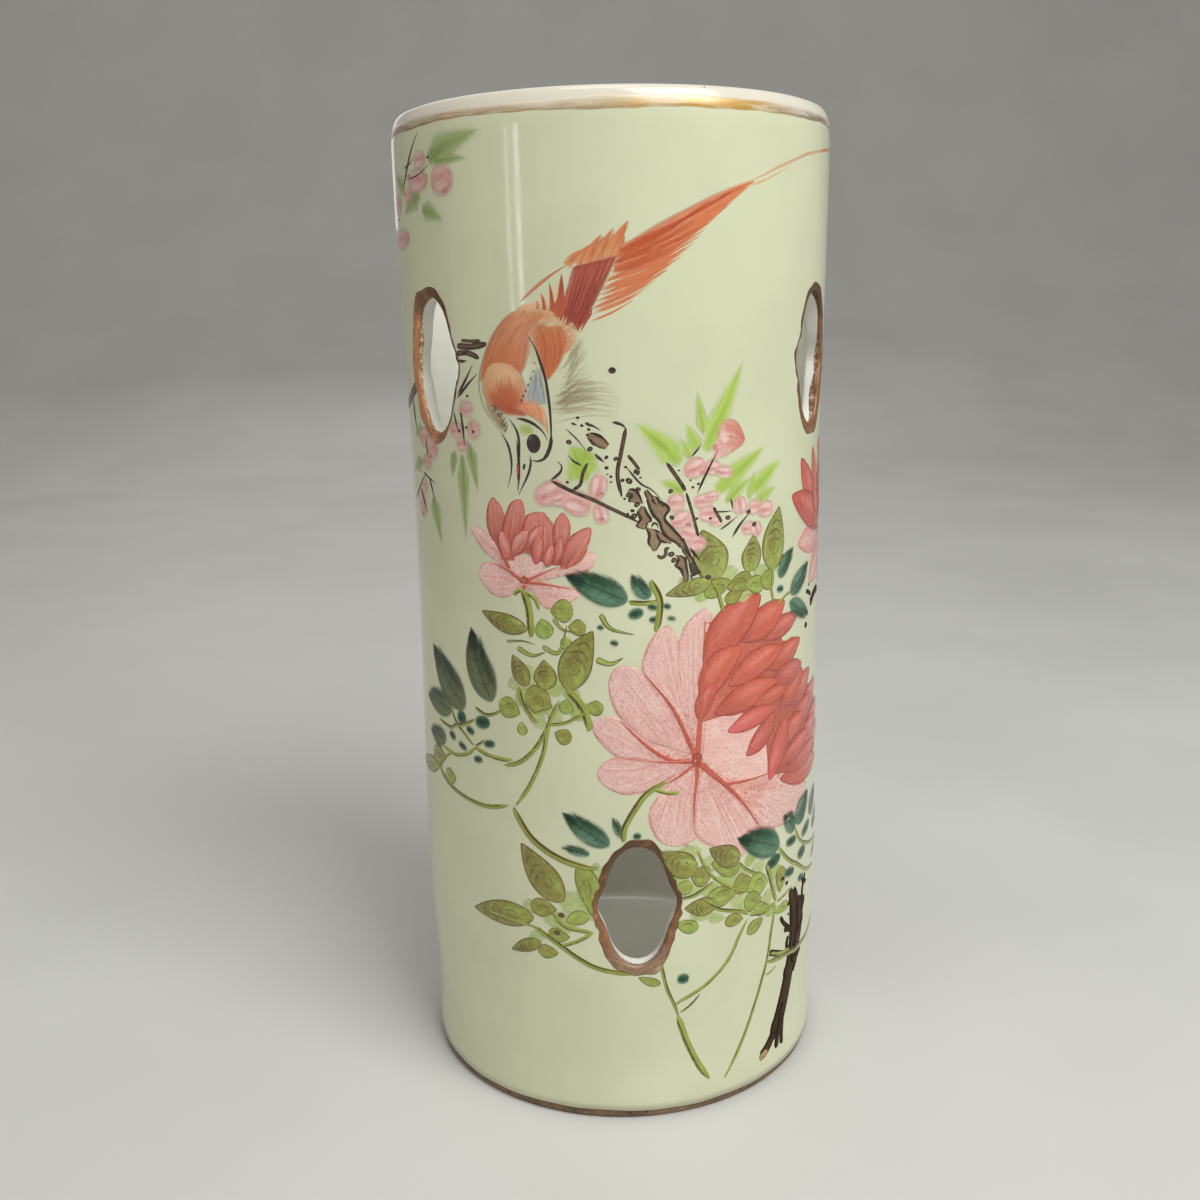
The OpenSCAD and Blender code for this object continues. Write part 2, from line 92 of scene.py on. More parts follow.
def length(name, text, millimetres):
    """A length that can be set in the sidebar."""
    return FloatProperty(name=name, description=text, default=millimetres * MM, unit="LENGTH", precision=5)


def colour(name, text, *screen):
    """A colour that can be set in the sidebar."""
    return FloatVectorProperty(name=name, description=text, default=srgb(*screen), size=3, min=0, max=1,
                               subtype="COLOR")


class StandSizes(bpy.types.PropertyGroup):
    """Sizes of the glazed body."""
    height: FloatProperty(name="Height", description="From the table to the crown of the lip",
                          default=CAD_BOX[1][2], unit="LENGTH", precision=5)
    body_radius: length("Body radius", "Mean outer radius of the wall", 62.0)
    mouth_out: length("Mouth flare", "How far the mouth stands out past the mean radius", 0.7)
    waist_in: length("Waist", "How far the waist draws in", 0.6)
    waist_height: length("Waist height", "Height of the narrowest place", 172.0)
    belly_out: length("Belly", "How far the lower wall swells", 0.6)
    belly_height: length("Belly height", "Height of the swelling", 60.0)
    ankle_in: length("Ankle", "How far the wall draws in above the foot", 0.8)
    ankle_height: length("Ankle height", "Height of that narrowing", 18.0)
    foot_in: length("Foot", "How far the foot stands in from the mean radius", 0.3)
    foot_height: length("Foot height", "Height at which the wall starts", 5.0)
    bare_height: length("Bare foot", "Height of the unglazed clay at the foot", 3.0)
    lip_drop: length("Lip drop", "How far below the crown the lip's outer curve starts", 10.0)
    throat_drop: length("Throat drop", "How far below the crown its inner curve starts", 6.0)
    bore_radius: length("Bore radius", "Radius of the glazed inside", 57.1)
    floor_height: length("Floor height", "Height of the glazed floor inside", 11.0)
    cove_radius: length("Cove", "Radius between the floor and the wall", 3.0)
    ground_drop: length("Ground edge", "How far below the crown the green ground ends", 4.5)
    opening_width: length("Opening width", "Width across an opening's middle", 22.8)
    opening_height: length("Opening height", "Height of an opening from tip to tip", 36.4)
    opening_lobe: length("Opening lobe", "How strongly the outline of an opening is lobed", 1.4)
    edge_round: length("Opening edge", "Rounding of an opening's edges", 0.8)
    glaze: length("Glaze", "Thickness of the modelled glaze coats", 0.2)
    border_side: length("Border at the sides", "Width of the gilt border at an opening's sides", 1.5)
    border_end: length("Border at the ends", "Width of the gilt border at an opening's ends", 2.9)
    border_lobe: length("Border lobe", "How strongly the border's outer edge is lobed", 1.2)
    border_inside: length("Border inside", "How far the gilding runs into an opening", 1.0)
    lip_gilt_low: length("Lip gilding, low edge", "How far below the crown the gilt band ends", 5.7)
    lip_gilt_high: length("Lip gilding, high edge", "How far below the crown the gilt band starts", 3.0)


class StandColours(bpy.types.PropertyGroup):
    """Colours of the clay, glazes and enamels."""
    # The bare clay's brown, set darker still as painted shade at the foot
    biscuit: colour("Biscuit", "Bare clay of the foot", 136, 110, 82)
    clay: colour("Clay", "Clay under the glazes", 225, 216, 198)
    ground: colour("Green ground", "Pale green glaze of the outside", 214, 216, 183)
    white: colour("White glaze", "Glaze of the lip and the inside", 244, 243, 233)
    gold: colour("Lip gold", "Bright gilding of the lip", 226, 172, 66)
    copper: colour("Border gilding", "Worn coppery gilding of the openings", 146, 100, 66)
    pink: colour("Rose pink", "Pale petals", 225, 172, 164)
    pink_deep: colour("Deep rose", "Rims and hollows of the pale petals", 206, 118, 110)
    coral: colour("Coral", "Red petals", 206, 100, 84)
    coral_deep: colour("Deep coral", "Rims of the red petals", 166, 68, 50)
    leaf: colour("Olive leaf", "Raised leaves and stems", 146, 148, 64)
    leaf_light: colour("Fresh leaf", "Bright green of stems and small leaves", 156, 174, 78)
    leaf_ink: colour("Leaf ink", "Brown lines on the leaves", 88, 72, 36)
    teal: colour("Blue green", "Dark leaves", 44, 80, 58)
    wash: colour("Green wash", "Thin bamboo-like leaves", 176, 202, 92)
    blossom: colour("Blossom", "Small pink blossoms", 224, 168, 160)
    bark: colour("Bark", "Brown of branches", 150, 124, 94)
    ink: colour("Ink", "Dark lines", 58, 46, 36)
    trunk: colour("Trunk", "Dark brown of the trunk", 56, 40, 23)
    orange: colour("Bird orange", "Back and head of the bird", 212, 114, 70)
    orange_pale: colour("Pale orange", "Light feathers of the bird", 224, 164, 116)
    wing_red: colour("Wing red", "Dark wing feathers", 166, 74, 62)
    slate: colour("Slate", "Grey-blue cheek of the bird", 160, 170, 176)


def smooth(t):
    """A ramp from 0 to 1 that eases at both ends."""
    t = np.clip(t, 0, 1)
    return t * t * (3 - 2 * t)


class Wall:
    """The turned body in millimetres: its radius at a height, and places on it."""

    LIP_POWER = 2.5

    def __init__(self, sizes):
        for name in StandSizes.__annotations__:
            setattr(self, name, getattr(sizes, name) / MM)
        r = self.body_radius
        self.lip_start = self.height - self.lip_drop
        self.throat = self.height - self.throat_drop
        self.crown_radius = (r + self.mouth_out + self.bore_radius) / 2
        self.ground_top = self.height - self.ground_drop
        self.knots = (
            (self.foot_height, r - self.foot_in),
            (self.ankle_height, r - self.ankle_in),
            (self.belly_height, r + self.belly_out),
            (self.waist_height, r - self.waist_in),
            (self.lip_start, r + self.mouth_out),
        )

    def radius(self, z):
        """Outer radius at a height, lip included."""
        z = np.asarray(z, float)
        out = np.full(z.shape, self.knots[0][1])
        for (low, r0), (high, r1) in zip(self.knots, self.knots[1:]):
            t = np.clip((z - low) / (high - low), 0, 1)
            out = np.where(z > low, r0 + (r1 - r0) * (1 - np.cos(math.pi * t)) / 2, out)
        rise = np.clip((z - self.lip_start) / self.lip_drop, 0, 1)
        curl = (1 - rise ** self.LIP_POWER) ** (1 / self.LIP_POWER)
        lip = self.crown_radius + (self.knots[-1][1] - self.crown_radius) * curl
        return np.where(z > self.lip_start, lip, out)

    def place(self, arc, z, lift=0.0):
        """Points in metres at an arc round the wall and a height, raised from the surface."""
        turn = np.asarray(arc) / self.body_radius
        out = self.radius(z) + lift
        return np.stack([out * np.sin(turn), -out * np.cos(turn), z + 0 * turn], -1) * MM

    def outline(self, t, grow_side=0.0, grow_end=0.0, lobe=None):
        """An opening's lobed outline at the angles t, widened at its sides and its ends."""
        lobe = self.opening_lobe if lobe is None else lobe
        side = self.opening_width / 2 + grow_side
        end = self.opening_height / 2 + grow_end
        r = (side + end) / 2 - lobe + (side - end) / 2 * np.cos(2 * t) + lobe * np.cos(4 * t)
        return np.stack([r * np.cos(t), r * np.sin(t)], -1)

    def outline_normal(self, t):
        """Outward directions of the opening's outline."""
        step = 1e-3
        ahead = self.outline(t + step) - self.outline(t - step)
        normal = np.stack([ahead[..., 1], -ahead[..., 0]], -1)
        return normal / np.linalg.norm(normal, axis=-1, keepdims=True)

    def through(self, opening, across, radius, depth):
        """Points in metres of an opening's own shape: across (sideways, up) from its middle, at a depth under
        the cylinder of that radius, measured along the opening's axis."""
        degrees, middle = opening[1:3]
        turn = math.radians(degrees)
        side = across[..., 0]
        out = np.sqrt(radius ** 2 - side ** 2) - depth
        x = side * math.cos(turn) + out * math.sin(turn)
        y = side * math.sin(turn) - out * math.cos(turn)
        return np.stack([x, y, middle + across[..., 1]], -1) * MM

    def clear_of_openings(self, arc, z, margin=0.7):
        """Moves places that lie in an opening out to its edge, under the gilding."""
        for _, degrees, middle, *_ in OPENINGS:
            centre = math.radians(degrees) * self.body_radius
            full = 2 * math.pi * self.body_radius
            side = (arc - centre + full / 2) % full - full / 2
            rise = z - middle
            t = np.arctan2(rise, side)
            edge = np.linalg.norm(self.outline(t, margin, margin), axis=-1)
            reach = np.hypot(side, rise)
            push = np.where(reach < edge, edge / np.maximum(reach, 1e-6), 1.0)
            arc = arc + side * (push - 1)
            z = z + rise * (push - 1)
        return arc, z


def deselect():
    """Leaves nothing selected."""
    bpy.ops.object.select_all(action="DESELECT")


def only(piece):
    """Selects one piece and makes it the active one."""
    deselect()
    piece.select_set(True)
    bpy.context.view_layer.objects.active = piece


class Blanks:
    """Flat sheets of faces, added once as primitives and copied for each stroke or skin."""

    kept = {}

    @classmethod
    def get(cls, columns, rows):
        """The sheet's mesh, the order of its vertices row by row, and the vertex of each corner."""
        if (columns, rows) not in cls.kept:
            deselect()
            bpy.ops.mesh.primitive_grid_add(x_subdivisions=columns, y_subdivisions=rows, size=2)
            sheet = bpy.context.object
            mesh = sheet.data
            bpy.data.objects.remove(sheet)
            points = np.zeros(len(mesh.vertices) * 3)
            mesh.vertices.foreach_get("co", points)
            x, y = points.reshape(-1, 3)[:, :2].T
            order = np.lexsort((np.round(x, 4), np.round(y, 4)))
            corners = np.zeros(len(mesh.loops), int)
            mesh.loops.foreach_get("vertex_index", corners)
            cls.kept[columns, rows] = (mesh, order, corners)
        return cls.kept[columns, rows]

    @classmethod
    def copy(cls, name, points, uv=None, paint=None, rim=None):
        """A new object of a sheet whose points, (rows, columns, 3) in metres, are given."""
        rows, columns = points.shape[0] - 1, points.shape[1] - 1
        blank, order, corners = cls.get(columns, rows)
        mesh = blank.copy()
        mesh.vertices.foreach_set("co", ordered(points.reshape(-1, 3), order).ravel())
        if uv is not None:
            flat = ordered(uv.reshape(-1, 2), order)
            mesh.uv_layers[0].data.foreach_set("uv", flat[corners].ravel())
        if paint is not None:
            layer = mesh.attributes.new("paint", "FLOAT_COLOR", "POINT")
            layer.data.foreach_set("color", ordered(paint.reshape(-1, 4), order).ravel())
        if rim is not None:
            layer = mesh.attributes.new("rim", "FLOAT", "POINT")
            layer.data.foreach_set("value", ordered(rim.reshape(-1, 1), order).ravel())
        sheet = bpy.data.objects.new(name, mesh)
        bpy.context.collection.objects.link(sheet)
        return sheet

    @classmethod
    def clear(cls):
        """Drops the sheets once everything is painted."""
        for mesh, _, _ in cls.kept.values():
            bpy.data.meshes.remove(mesh)
        cls.kept.clear()


def ordered(values, order):
    """Values listed row by row, put in the order of a sheet's own vertices."""
    out = np.empty_like(values)
    out[order] = values
    return out


def join(name, pieces):
    """Joins pieces into the first one, smooth shaded."""
    first = pieces[0]
    with bpy.context.temp_override(active_object=first, object=first, selected_objects=pieces,
                                   selected_editable_objects=pieces):
        if len(pieces) > 1:
            bpy.ops.object.join()
    first.name = name
    first.data.name = name
    with bpy.context.temp_override(active_object=first, object=first, selected_objects=[first],
                                   selected_editable_objects=[first]):
        bpy.ops.object.shade_smooth()
    return first


def in_edit_mode(piece, *steps):
    """Runs edit-mode steps on all of a piece."""
    only(piece)
    bpy.ops.object.mode_set(mode="EDIT")
    bpy.ops.mesh.select_all(action="SELECT")
    for step in steps:
        step()
    bpy.ops.object.mode_set(mode="OBJECT")


def weld():
    """Merges the doubled vertices of seams."""
    bpy.ops.mesh.remove_doubles(threshold=2e-6)


def face_outwards():
    """Turns all faces the same way."""
    bpy.ops.mesh.normals_make_consistent(inside=False)


def turn_faces(piece, outward):
    """Makes a turned skin's faces look away from the axis, or towards it."""
    lean = sum(p.normal.dot(Vector((p.center.x, p.center.y, 0)).normalized()) * p.area
               for p in piece.data.polygons if abs(p.normal.z) < 0.3)
    if (lean > 0) != outward:
        in_edit_mode(piece, bpy.ops.mesh.flip_normals)


def thicken(piece, thickness):
    """Gives a skin its thickness, away from its shown side."""
    solid = piece.modifiers.new("thickness", "SOLIDIFY")
    solid.thickness = thickness * MM
    solid.offset = -1
    only(piece)
    bpy.ops.object.modifier_apply(modifier=solid.name)


def dress(piece, material, slot, *nodes):
    """Gives a finished piece its material and its place in the frame."""
    piece.data.materials.clear()
    piece.data.materials.append(material)
    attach(piece, BODY)
    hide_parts(*nodes)
    return piece


# The turned skins


def window_of(opening, heights):
    """The columns and rows of a skin that an opening's collar takes the place of."""
    degrees, middle = opening[1:3]
    step = 360 / COLUMNS
    first = round((degrees - WINDOW_TURN) / step)
    last = round((degrees + WINDOW_TURN) / step)
    low = int(np.argmin(np.abs(heights - (middle - WINDOW_RISE))))
    high = int(np.argmin(np.abs(heights - (middle + WINDOW_RISE))))
    return first, last, low, high


def turned_skin(name, meridian, windows):
    """A sheet carried round the axis along a meridian of (radius, height), without the windows' faces."""
    radius, height = np.asarray(meridian, float).T
    turn = np.linspace(-math.pi, math.pi, COLUMNS + 1)
    x = radius[:, None] * np.sin(turn)
    y = -radius[:, None] * np.cos(turn)
    points = np.stack([x, y, np.repeat(height[:, None], COLUMNS + 1, 1)], -1) * MM
    skin = Blanks.copy(name, points)
    mesh = skin.data
    mesh.polygons.foreach_set("select", np.zeros(len(mesh.polygons), bool))
    step = 2 * math.pi / COLUMNS
    for face in mesh.polygons:
        column = math.atan2(face.center.x, -face.center.y) / step
        level = face.center.z / MM
        for first, last, low, high in windows:
            inside = (column - first) % COLUMNS < last - first
            if inside and height[low] < level < height[high]:
                face.select = True
    bpy.context.tool_settings.mesh_select_mode = (False, False, True)
    only(skin)
    bpy.ops.object.mode_set(mode="EDIT")
    bpy.ops.mesh.delete(type="FACE")
    bpy.ops.object.mode_set(mode="OBJECT")
    return skin


def window_rim(opening, window, heights):
    """The window's edge, once round, as sideways angles from the opening's middle and heights."""
    first, last, low, high = window
    step = 2 * math.pi / COLUMNS
    middle = math.radians(opening[1])
    columns = [*range(first, last), *[last] * (high - low), *range(last, first, -1),
               *[first] * (high - low + 1)]
    rows = [*[low] * (last - first), *range(low, high), *[high] * (last - first), *range(high, low - 1, -1)]
    return np.array(columns) * step - middle, heights[rows]


def collar(wall, name, opening, window, heights, radius_at, sign):
    """Rings from a window's edge to the opening and round its edge. The sign is 1 for the outside of the
    wall, whose edge turns inwards, and -1 for the bore."""
    rings = 9
    turns = 4
    lean, level = window_rim(opening, window, heights)
    start = np.stack([radius_at(level) * np.sin(lean), level - opening[2]], -1)
    t = np.arctan2(start[:, 1], start[:, 0])
    edge = wall.outline(t)
    normal = wall.outline_normal(t)
    rows = []
    for share in np.linspace(0, 1, rings + 1):
        ease = 1 - (1 - share) ** 1.3
        across = start + (edge + normal * wall.edge_round - start) * ease
        rows.append(wall.through(opening, across, radius_at(across[:, 1] + opening[2]), 0.0))
    for quarter in np.linspace(0, math.pi / 2, turns + 1)[1:]:
        across = edge + normal * wall.edge_round * (1 - math.sin(quarter))
        depth = sign * wall.edge_round * (1 - math.cos(quarter))
        rows.append(wall.through(opening, across, radius_at(across[:, 1] + opening[2]), depth))
    return Blanks.copy(name, np.stack(rows)), t


def tunnel(wall, name, opening, t):
    """The cut face of an opening, between its two rounded edges."""
    rows = 4
    edge = wall.outline(t)
    outer = wall.radius(edge[:, 1] + opening[2])
    from_bore = np.sqrt(outer ** 2 - edge[:, 0] ** 2) - np.sqrt(wall.bore_radius ** 2 - edge[:, 0] ** 2)
    points = []
    for share in np.linspace(0, 1, rows + 1):
        depth = from_bore - wall.edge_round + (2 * wall.edge_round - from_bore) * share
        points.append(wall.through(opening, edge, outer, depth))
    return Blanks.copy(name, np.stack(points))


def stations(low, high, step):
    """Evenly spaced heights."""
    return np.linspace(low, high, max(1, round((high - low) / step)) + 1)


def green_ground(wall):
    """The pale green glaze of the outside, with a slightly uneven lower edge."""
    heights = np.concatenate([stations(wall.bare_height, wall.lip_start, ROW_STEP),
                              stations(wall.lip_start, wall.ground_top, 0.8)[1:]])
    windows = [window_of(opening, heights) for opening in OPENINGS]
    skin = turned_skin("green_ground_glaze", np.stack([wall.radius(heights), heights], -1), windows)
    waver = random.Random(11)
    waves = [(k, waver.uniform(0.02, 0.12), waver.uniform(0, 6.3)) for k in (3, 5, 8, 13, 21, 34)]
    for vertex in skin.data.vertices:
        if vertex.co.z < (wall.bare_height + ROW_STEP / 2) * MM:
            turn = math.atan2(vertex.co.x, -vertex.co.y)
            vertex.co.z += MM * sum(size * math.sin(k * turn + phase) for k, size, phase in waves)
    pieces = [skin]
    for opening, window in zip(OPENINGS, windows):
        pieces.append(collar(wall, opening[0], opening, window, heights, wall.radius, 1)[0])
    skin = join("green_ground_glaze", pieces)
    in_edit_mode(skin, weld, face_outwards)
    turn_faces(skin, True)
    thicken(skin, wall.glaze)
    return skin


def lining_meridian(wall):
    """The white glaze from the middle of the floor up the bore and over the lip, as (radius, height)."""
    power = 1 / wall.LIP_POWER
    cove = wall.bore_radius - wall.cove_radius
    points = [(r, wall.floor_height) for r in (0.02, 6, 14, 23, 32, 40, 46.5, 51)]
    for quarter in np.linspace(0, math.pi / 2, 6):
        points.append((cove + wall.cove_radius * math.sin(quarter),
                       wall.floor_height + wall.cove_radius * (1 - math.cos(quarter))))
    for z in stations(wall.floor_height + wall.cove_radius, wall.throat, ROW_STEP)[1:]:
        points.append((wall.bore_radius, z))
    half = wall.crown_radius - wall.bore_radius
    for share in np.linspace(0, 1, 9)[1:]:
        turn = math.sin(share * math.pi / 2)
        points.append((wall.crown_radius - half * (1 - turn ** wall.LIP_POWER) ** power,
                       wall.throat + wall.throat_drop * turn))
    for z in np.linspace(wall.height, wall.ground_top, 12)[1:]:
        points.append((float(wall.radius(z)), z))
    return np.array(points)


def white_lining(wall):
    """The white glaze of the lip, the inside, the floor and the cut faces of the openings."""
    meridian = lining_meridian(wall)
    heights = meridian[:, 1].copy()
    heights[np.argmax(heights):] = np.inf
    windows = [window_of(opening, heights) for opening in OPENINGS]
    skin = turned_skin("white_glaze_lining", meridian, windows)
    pieces = [skin]

    def bore(z):
        return np.full(np.shape(z), wall.bore_radius)

    for opening, window in zip(OPENINGS, windows):
        ring, t = collar(wall, opening[0], opening, window, heights, bore, -1)
        pieces += [ring, tunnel(wall, opening[0] + "_cut", opening, t)]
    skin = join("white_glaze_lining", pieces)
    in_edit_mode(skin, weld, face_outwards)
    turn_faces(skin, False)
    thicken(skin, wall.glaze)
    return skin


# Gilding


def wobble(rng, counts, size):
    """A slow uneven line round a closed ring, as a function of the angle, from waves of these counts."""
    waves = [(k, rng.uniform(0.3, 1.0) / math.sqrt(k), rng.uniform(0, 6.3)) for k in counts]
    total = sum(share for _, share, _ in waves)

    def at(t):
        return size / total * 2 * sum(share * np.sin(k * t + phase) for k, share, phase in waves)

    return at


def gilt_border(wall, opening, seed):
    """A brushed border of gilding round an opening, uneven at its edge and lapping into the cut face."""
    rng = random.Random(seed)
    around = 168
    t = np.linspace(0, 2 * math.pi, around + 1)
    edge = wall.outline(t)
    normal = wall.outline_normal(t)
    ragged = wobble(rng, (5, 7, 9, 12, 17, 23), 0.55)(t)
    brushed = wobble(rng, (2, 3, 5, 7), 0.7)(t)
    outer = wall.outline(t, wall.border_side, wall.border_end, wall.border_lobe)
    reach = np.linalg.norm(outer, axis=-1, keepdims=True)
    heading = outer / reach
    wider = 0.95 - heading[:, :1] * opening[3] - heading[:, 1:] * opening[4]
    outer = edge + (outer - edge) * wider + heading * ragged[:, None]
    flat_edge = edge + normal * wall.edge_round
    rows, across_mm = [], []
    relief = wobble(rng, (4, 9, 14, 20), 0.04)(t)

    def add(across, depth, width):
        radius = wall.radius(across[:, 1] + opening[2])
        rows.append(wall.through(opening, across, radius, depth))
        across_mm.append(np.full(around + 1, width))

    add(outer, 0.05, 0.0)
    for share, raise_by in ((0.02, 0.07), (0.2, 0.16), (0.5, 0.24), (0.8, 0.24), (1.0, 0.2)):
        add(outer + (flat_edge - outer) * share, -raise_by - relief, 2.0 * share)
    for quarter in np.linspace(0, math.pi / 2, 5)[1:]:
        away = wall.edge_round + 0.14
        across = edge + normal * (wall.edge_round - away * math.sin(quarter))
        add(across, wall.edge_round - away * math.cos(quarter), 2.0 + quarter)
    deep = wall.edge_round + wall.border_inside + brushed
    add(edge - normal * 0.1, wall.edge_round + (deep - wall.edge_round) * 0.6, 4.2)
    add(edge - normal * 0.06, deep, 4.8)
    add(edge + normal * 0.05, deep + 0.08, 5.0)
    points = np.stack(rows)
    run = np.concatenate([[0], np.cumsum(np.linalg.norm(np.diff(outer, axis=0), axis=1))])
    uv = np.stack([np.repeat(run[None], len(rows), 0) + 40 * seed, np.stack(across_mm)], -1)
    # The border is darker at its top and paler towards its bottom and its wider side.
    paler_share = smooth(0.5 - 0.65 * heading[:, 1] - 1.6 * heading[:, 0] * opening[3])[:, None]
    tone = np.array((0.52, 0.54, 0.54)) * (1 - paler_share) + np.array((1.2, 1.25, 1.32)) * paler_share
    # Painted highlight: a border that is wider to the left is brightened further on its left side.
    tone *= 1 + 1.4 * max(0.0, opening[3]) * smooth(0.4 - 0.8 * heading[:, :1])
    if opening[2] < wall.height / 2:
        rubbed = smooth(-5 * heading[:, 1:] - 3.9)
        tone += np.array((0.2, 0.7, 1.5)) * rubbed
    paint = np.repeat(np.column_stack([tone, np.ones(around + 1)])[None], len(rows), 0)
    band = Blanks.copy(opening[0] + "_gilding", points, uv, paint, np.stack(across_mm))
    band = join(opening[0] + "_gilding", [band])
    in_edit_mode(band, weld, face_outwards)
    return band


# The lip's gilding along the arc: place in millimetres, how bright it is, and how much of it is left
LIP_WEAR = ((-195, 0.5, 0.7), (-140, 0.35, 0.6), (-95, 0.25, 0.7), (-70, 0.15, 0.9), (-50, 0.35, 0.9),
            (-25, 0.4, 0.7), (-8, 0.5, 0.75), (2, 0.85, 0.85), (12, 0.8, 0.7), (17, 1.0, 1.0),
            (34, 1.0, 1.0), (44, 0.4, 0.75), (54, 0.1, 0.8), (66, 0.05, 0.9), (100, 0.3, 0.6),
            (150, 0.6, 0.7), (195, 0.5, 0.7))


def gilt_lip(wall, colours):
    """The gilt band under the lip, worn along its length."""
    rng = random.Random(5)
    around = 360
    turn = np.linspace(-math.pi, math.pi, around + 1)
    arc = turn * wall.body_radius
    low = wall.height - wall.lip_gilt_low + wobble(rng, (4, 7, 13, 22, 40), 0.3)(turn)
    high = wall.height - wall.lip_gilt_high + wobble(rng, (3, 8, 15, 27, 44), 0.35)(turn)
    where, bright, left = np.array(LIP_WEAR).T
    worn_tone = np.array(srgb(140, 110, 90))
    tone = worn_tone + (np.array(colours.gold) - worn_tone) * np.interp(arc, where, bright)[:, None]
    rows, uv, paint = [], [], []
    left = np.interp(arc, where, left)
    for share, lift in ((0, -0.05), (0.04, 0.05), (0.3, 0.08), (0.7, 0.08), (0.96, 0.05), (1, -0.05)):
        z = low + (high - low) * share
        rows.append(wall.place(arc, z, lift))
        uv.append(np.stack([arc, z], -1))
        paint.append(np.column_stack([tone, left * np.clip(1.7 * left - 1.1 * share, 0, 1)]))
    rim = np.repeat(np.array([0, 0.1, 0.8, 0.8, 0.1, 0])[:, None], around + 1, 1)
    band = Blanks.copy("lip_gilding_band", np.stack(rows), np.stack(uv), np.stack(paint), rim)
    band = join("lip_gilding_band", [band])
    in_edit_mode(band, weld, face_outwards)
    turn_faces(band, True)
    return band


# Brush strokes


def places(row):
    """Places of a row that lists arcs and heights in turn."""
    return np.asarray(row, float).reshape(-1, 2)


def curve(points, count):
    """Evenly spaced places along a smooth line through a few chosen ones."""
    p = places(points)
    if len(p) > 2:
        ends = np.vstack([2 * p[0] - p[1], p, 2 * p[-1] - p[-2]])
        t = np.linspace(0, 1, 9)[:-1, None]
        runs = [(2 * b + (c - a) * t + (2 * a - 5 * b + 4 * c - d) * t ** 2
                 + (3 * b - a - 3 * c + d) * t ** 3) / 2
                for a, b, c, d in zip(ends, ends[1:], ends[2:], ends[3:])]
        p = np.vstack([*runs, p[-1:]])
    reach = np.concatenate([[0], np.cumsum(np.linalg.norm(np.diff(p, axis=0), axis=1))])
    at = np.linspace(0, reach[-1], count)
    return np.column_stack([np.interp(at, reach, p[:, k]) for k in (0, 1)])


def run_length(points):
    """Length of a chain of places."""
    return float(np.linalg.norm(np.diff(places(points), axis=0), axis=1).sum())


def left_of(line):
    """Directions to the left along a line."""
    ahead = np.gradient(line, axis=0)
    ahead /= np.maximum(np.linalg.norm(ahead, axis=1, keepdims=True), 1e-9)
    return np.stack([-ahead[:, 1], ahead[:, 0]], -1)


def towards(angle):
    """The direction at an angle."""
    return np.array([math.cos(angle), math.sin(angle)])


def count_for(size, step, choices):
    """The least of a few counts of faces that keeps them under a step."""
    return next((c for c in choices if c * step >= size), choices[-1])


# How wide a stroke is along its length, from 0 at its root to 1 at its tip
SHAPES = {
    "leaf": lambda t: np.sin(math.pi * t ** 0.75) ** 0.85,
    "petal": lambda t: np.clip((0.18 + 0.95 * t ** 0.8) * (1 - t ** 5) ** 0.5, 0, 1),
    "lens": lambda t: np.sin(math.pi * t) ** 0.7,
    "oval": lambda t: np.sqrt(np.clip(1 - (2 * t - 1) ** 2, 0, 1)),
    "line": lambda t: np.clip(np.minimum(t / 0.08, (1 - t) / 0.15), 0, 1) ** 0.6,
    "taper": lambda t: np.clip(t / 0.06, 0, 1) ** 0.5 * (1 - t) ** 0.7,
    "hair": lambda t: np.clip(np.minimum(t / 0.2, (1 - t) / 0.5), 0, 1) * 0.9 + 0.1,
    "wash": lambda t: np.clip(t / 0.25, 0, 1) ** 0.7 * np.clip((1 - t) / 0.75, 0, 1) ** 0.65,
}
ALONG = (3, 4, 6, 8, 11, 15, 20, 28, 40, 60, 90)
ACROSS = (2, 3, 4, 6, 8, 11, 15, 20)
RAISED_EDGE = 0.12   # millimetres from a raised stroke's edge to its full height
BURIED = 0.05        # millimetres that the edge of a raised stroke lies under the glaze
SHOULDER = 1.6       # millimetres over which a domed stroke rises, at most
PATTERN_SPAN = 400   # millimetres over which the strokes' patterns are spread, so that no two look alike
NO_RIM = 9.0         # millimetres to the edge that soft and flat strokes state, so that no rim is drawn
AXIS_PLACES = 33     # places along the axis of a stroke
FINE_STEPS = 40      # steps of the lines that strands and leaves are laid along


def refine(sheet, step):
    """A sheet of values with places first, filled in until its places lie no further apart than a step."""
    for axis in (0, 1):
        widest = np.linalg.norm(np.diff(sheet[..., :2], axis=axis), axis=-1).max()
        count = sheet.shape[axis]
        at = np.linspace(0, count - 1, (count - 1) * max(1, math.ceil(widest / step)) + 1)
        low = np.minimum(at.astype(int), count - 2)
        share = np.expand_dims(at - low, (1 - axis, 2))
        sheet = np.take(sheet, low, axis) * (1 - share) + np.take(sheet, low + 1, axis) * share
    return sheet


class Canvas:
    """The paint already on the wall, so that thin paint laid over it lets it show and lies on top of it."""

    STEP = 0.3

    def __init__(self, wall):
        self.columns = round(2 * math.pi * wall.body_radius / self.STEP)
        rows = round(wall.height / self.STEP) + 1
        self.paint = np.zeros((rows, self.columns, 5))

    def cells(self, arc, z):
        row = np.clip(np.round(z / self.STEP).astype(int), 0, len(self.paint) - 1)
        return row, np.round(arc / self.STEP).astype(int) % self.columns

    def below(self, arc, z):
        """Red, green, blue, cover and thickness of the paint at some places."""
        return self.paint[self.cells(arc, z)]

    def lay(self, arc, z, paint, thickness):
        """Adds a stroke."""
        sheet = np.concatenate([np.stack([arc, z], -1), paint, thickness[..., None]], -1)
        fine = refine(sheet, self.STEP * 0.7)
        self.paint[self.cells(fine[..., 0], fine[..., 1])] = fine[..., 2:]


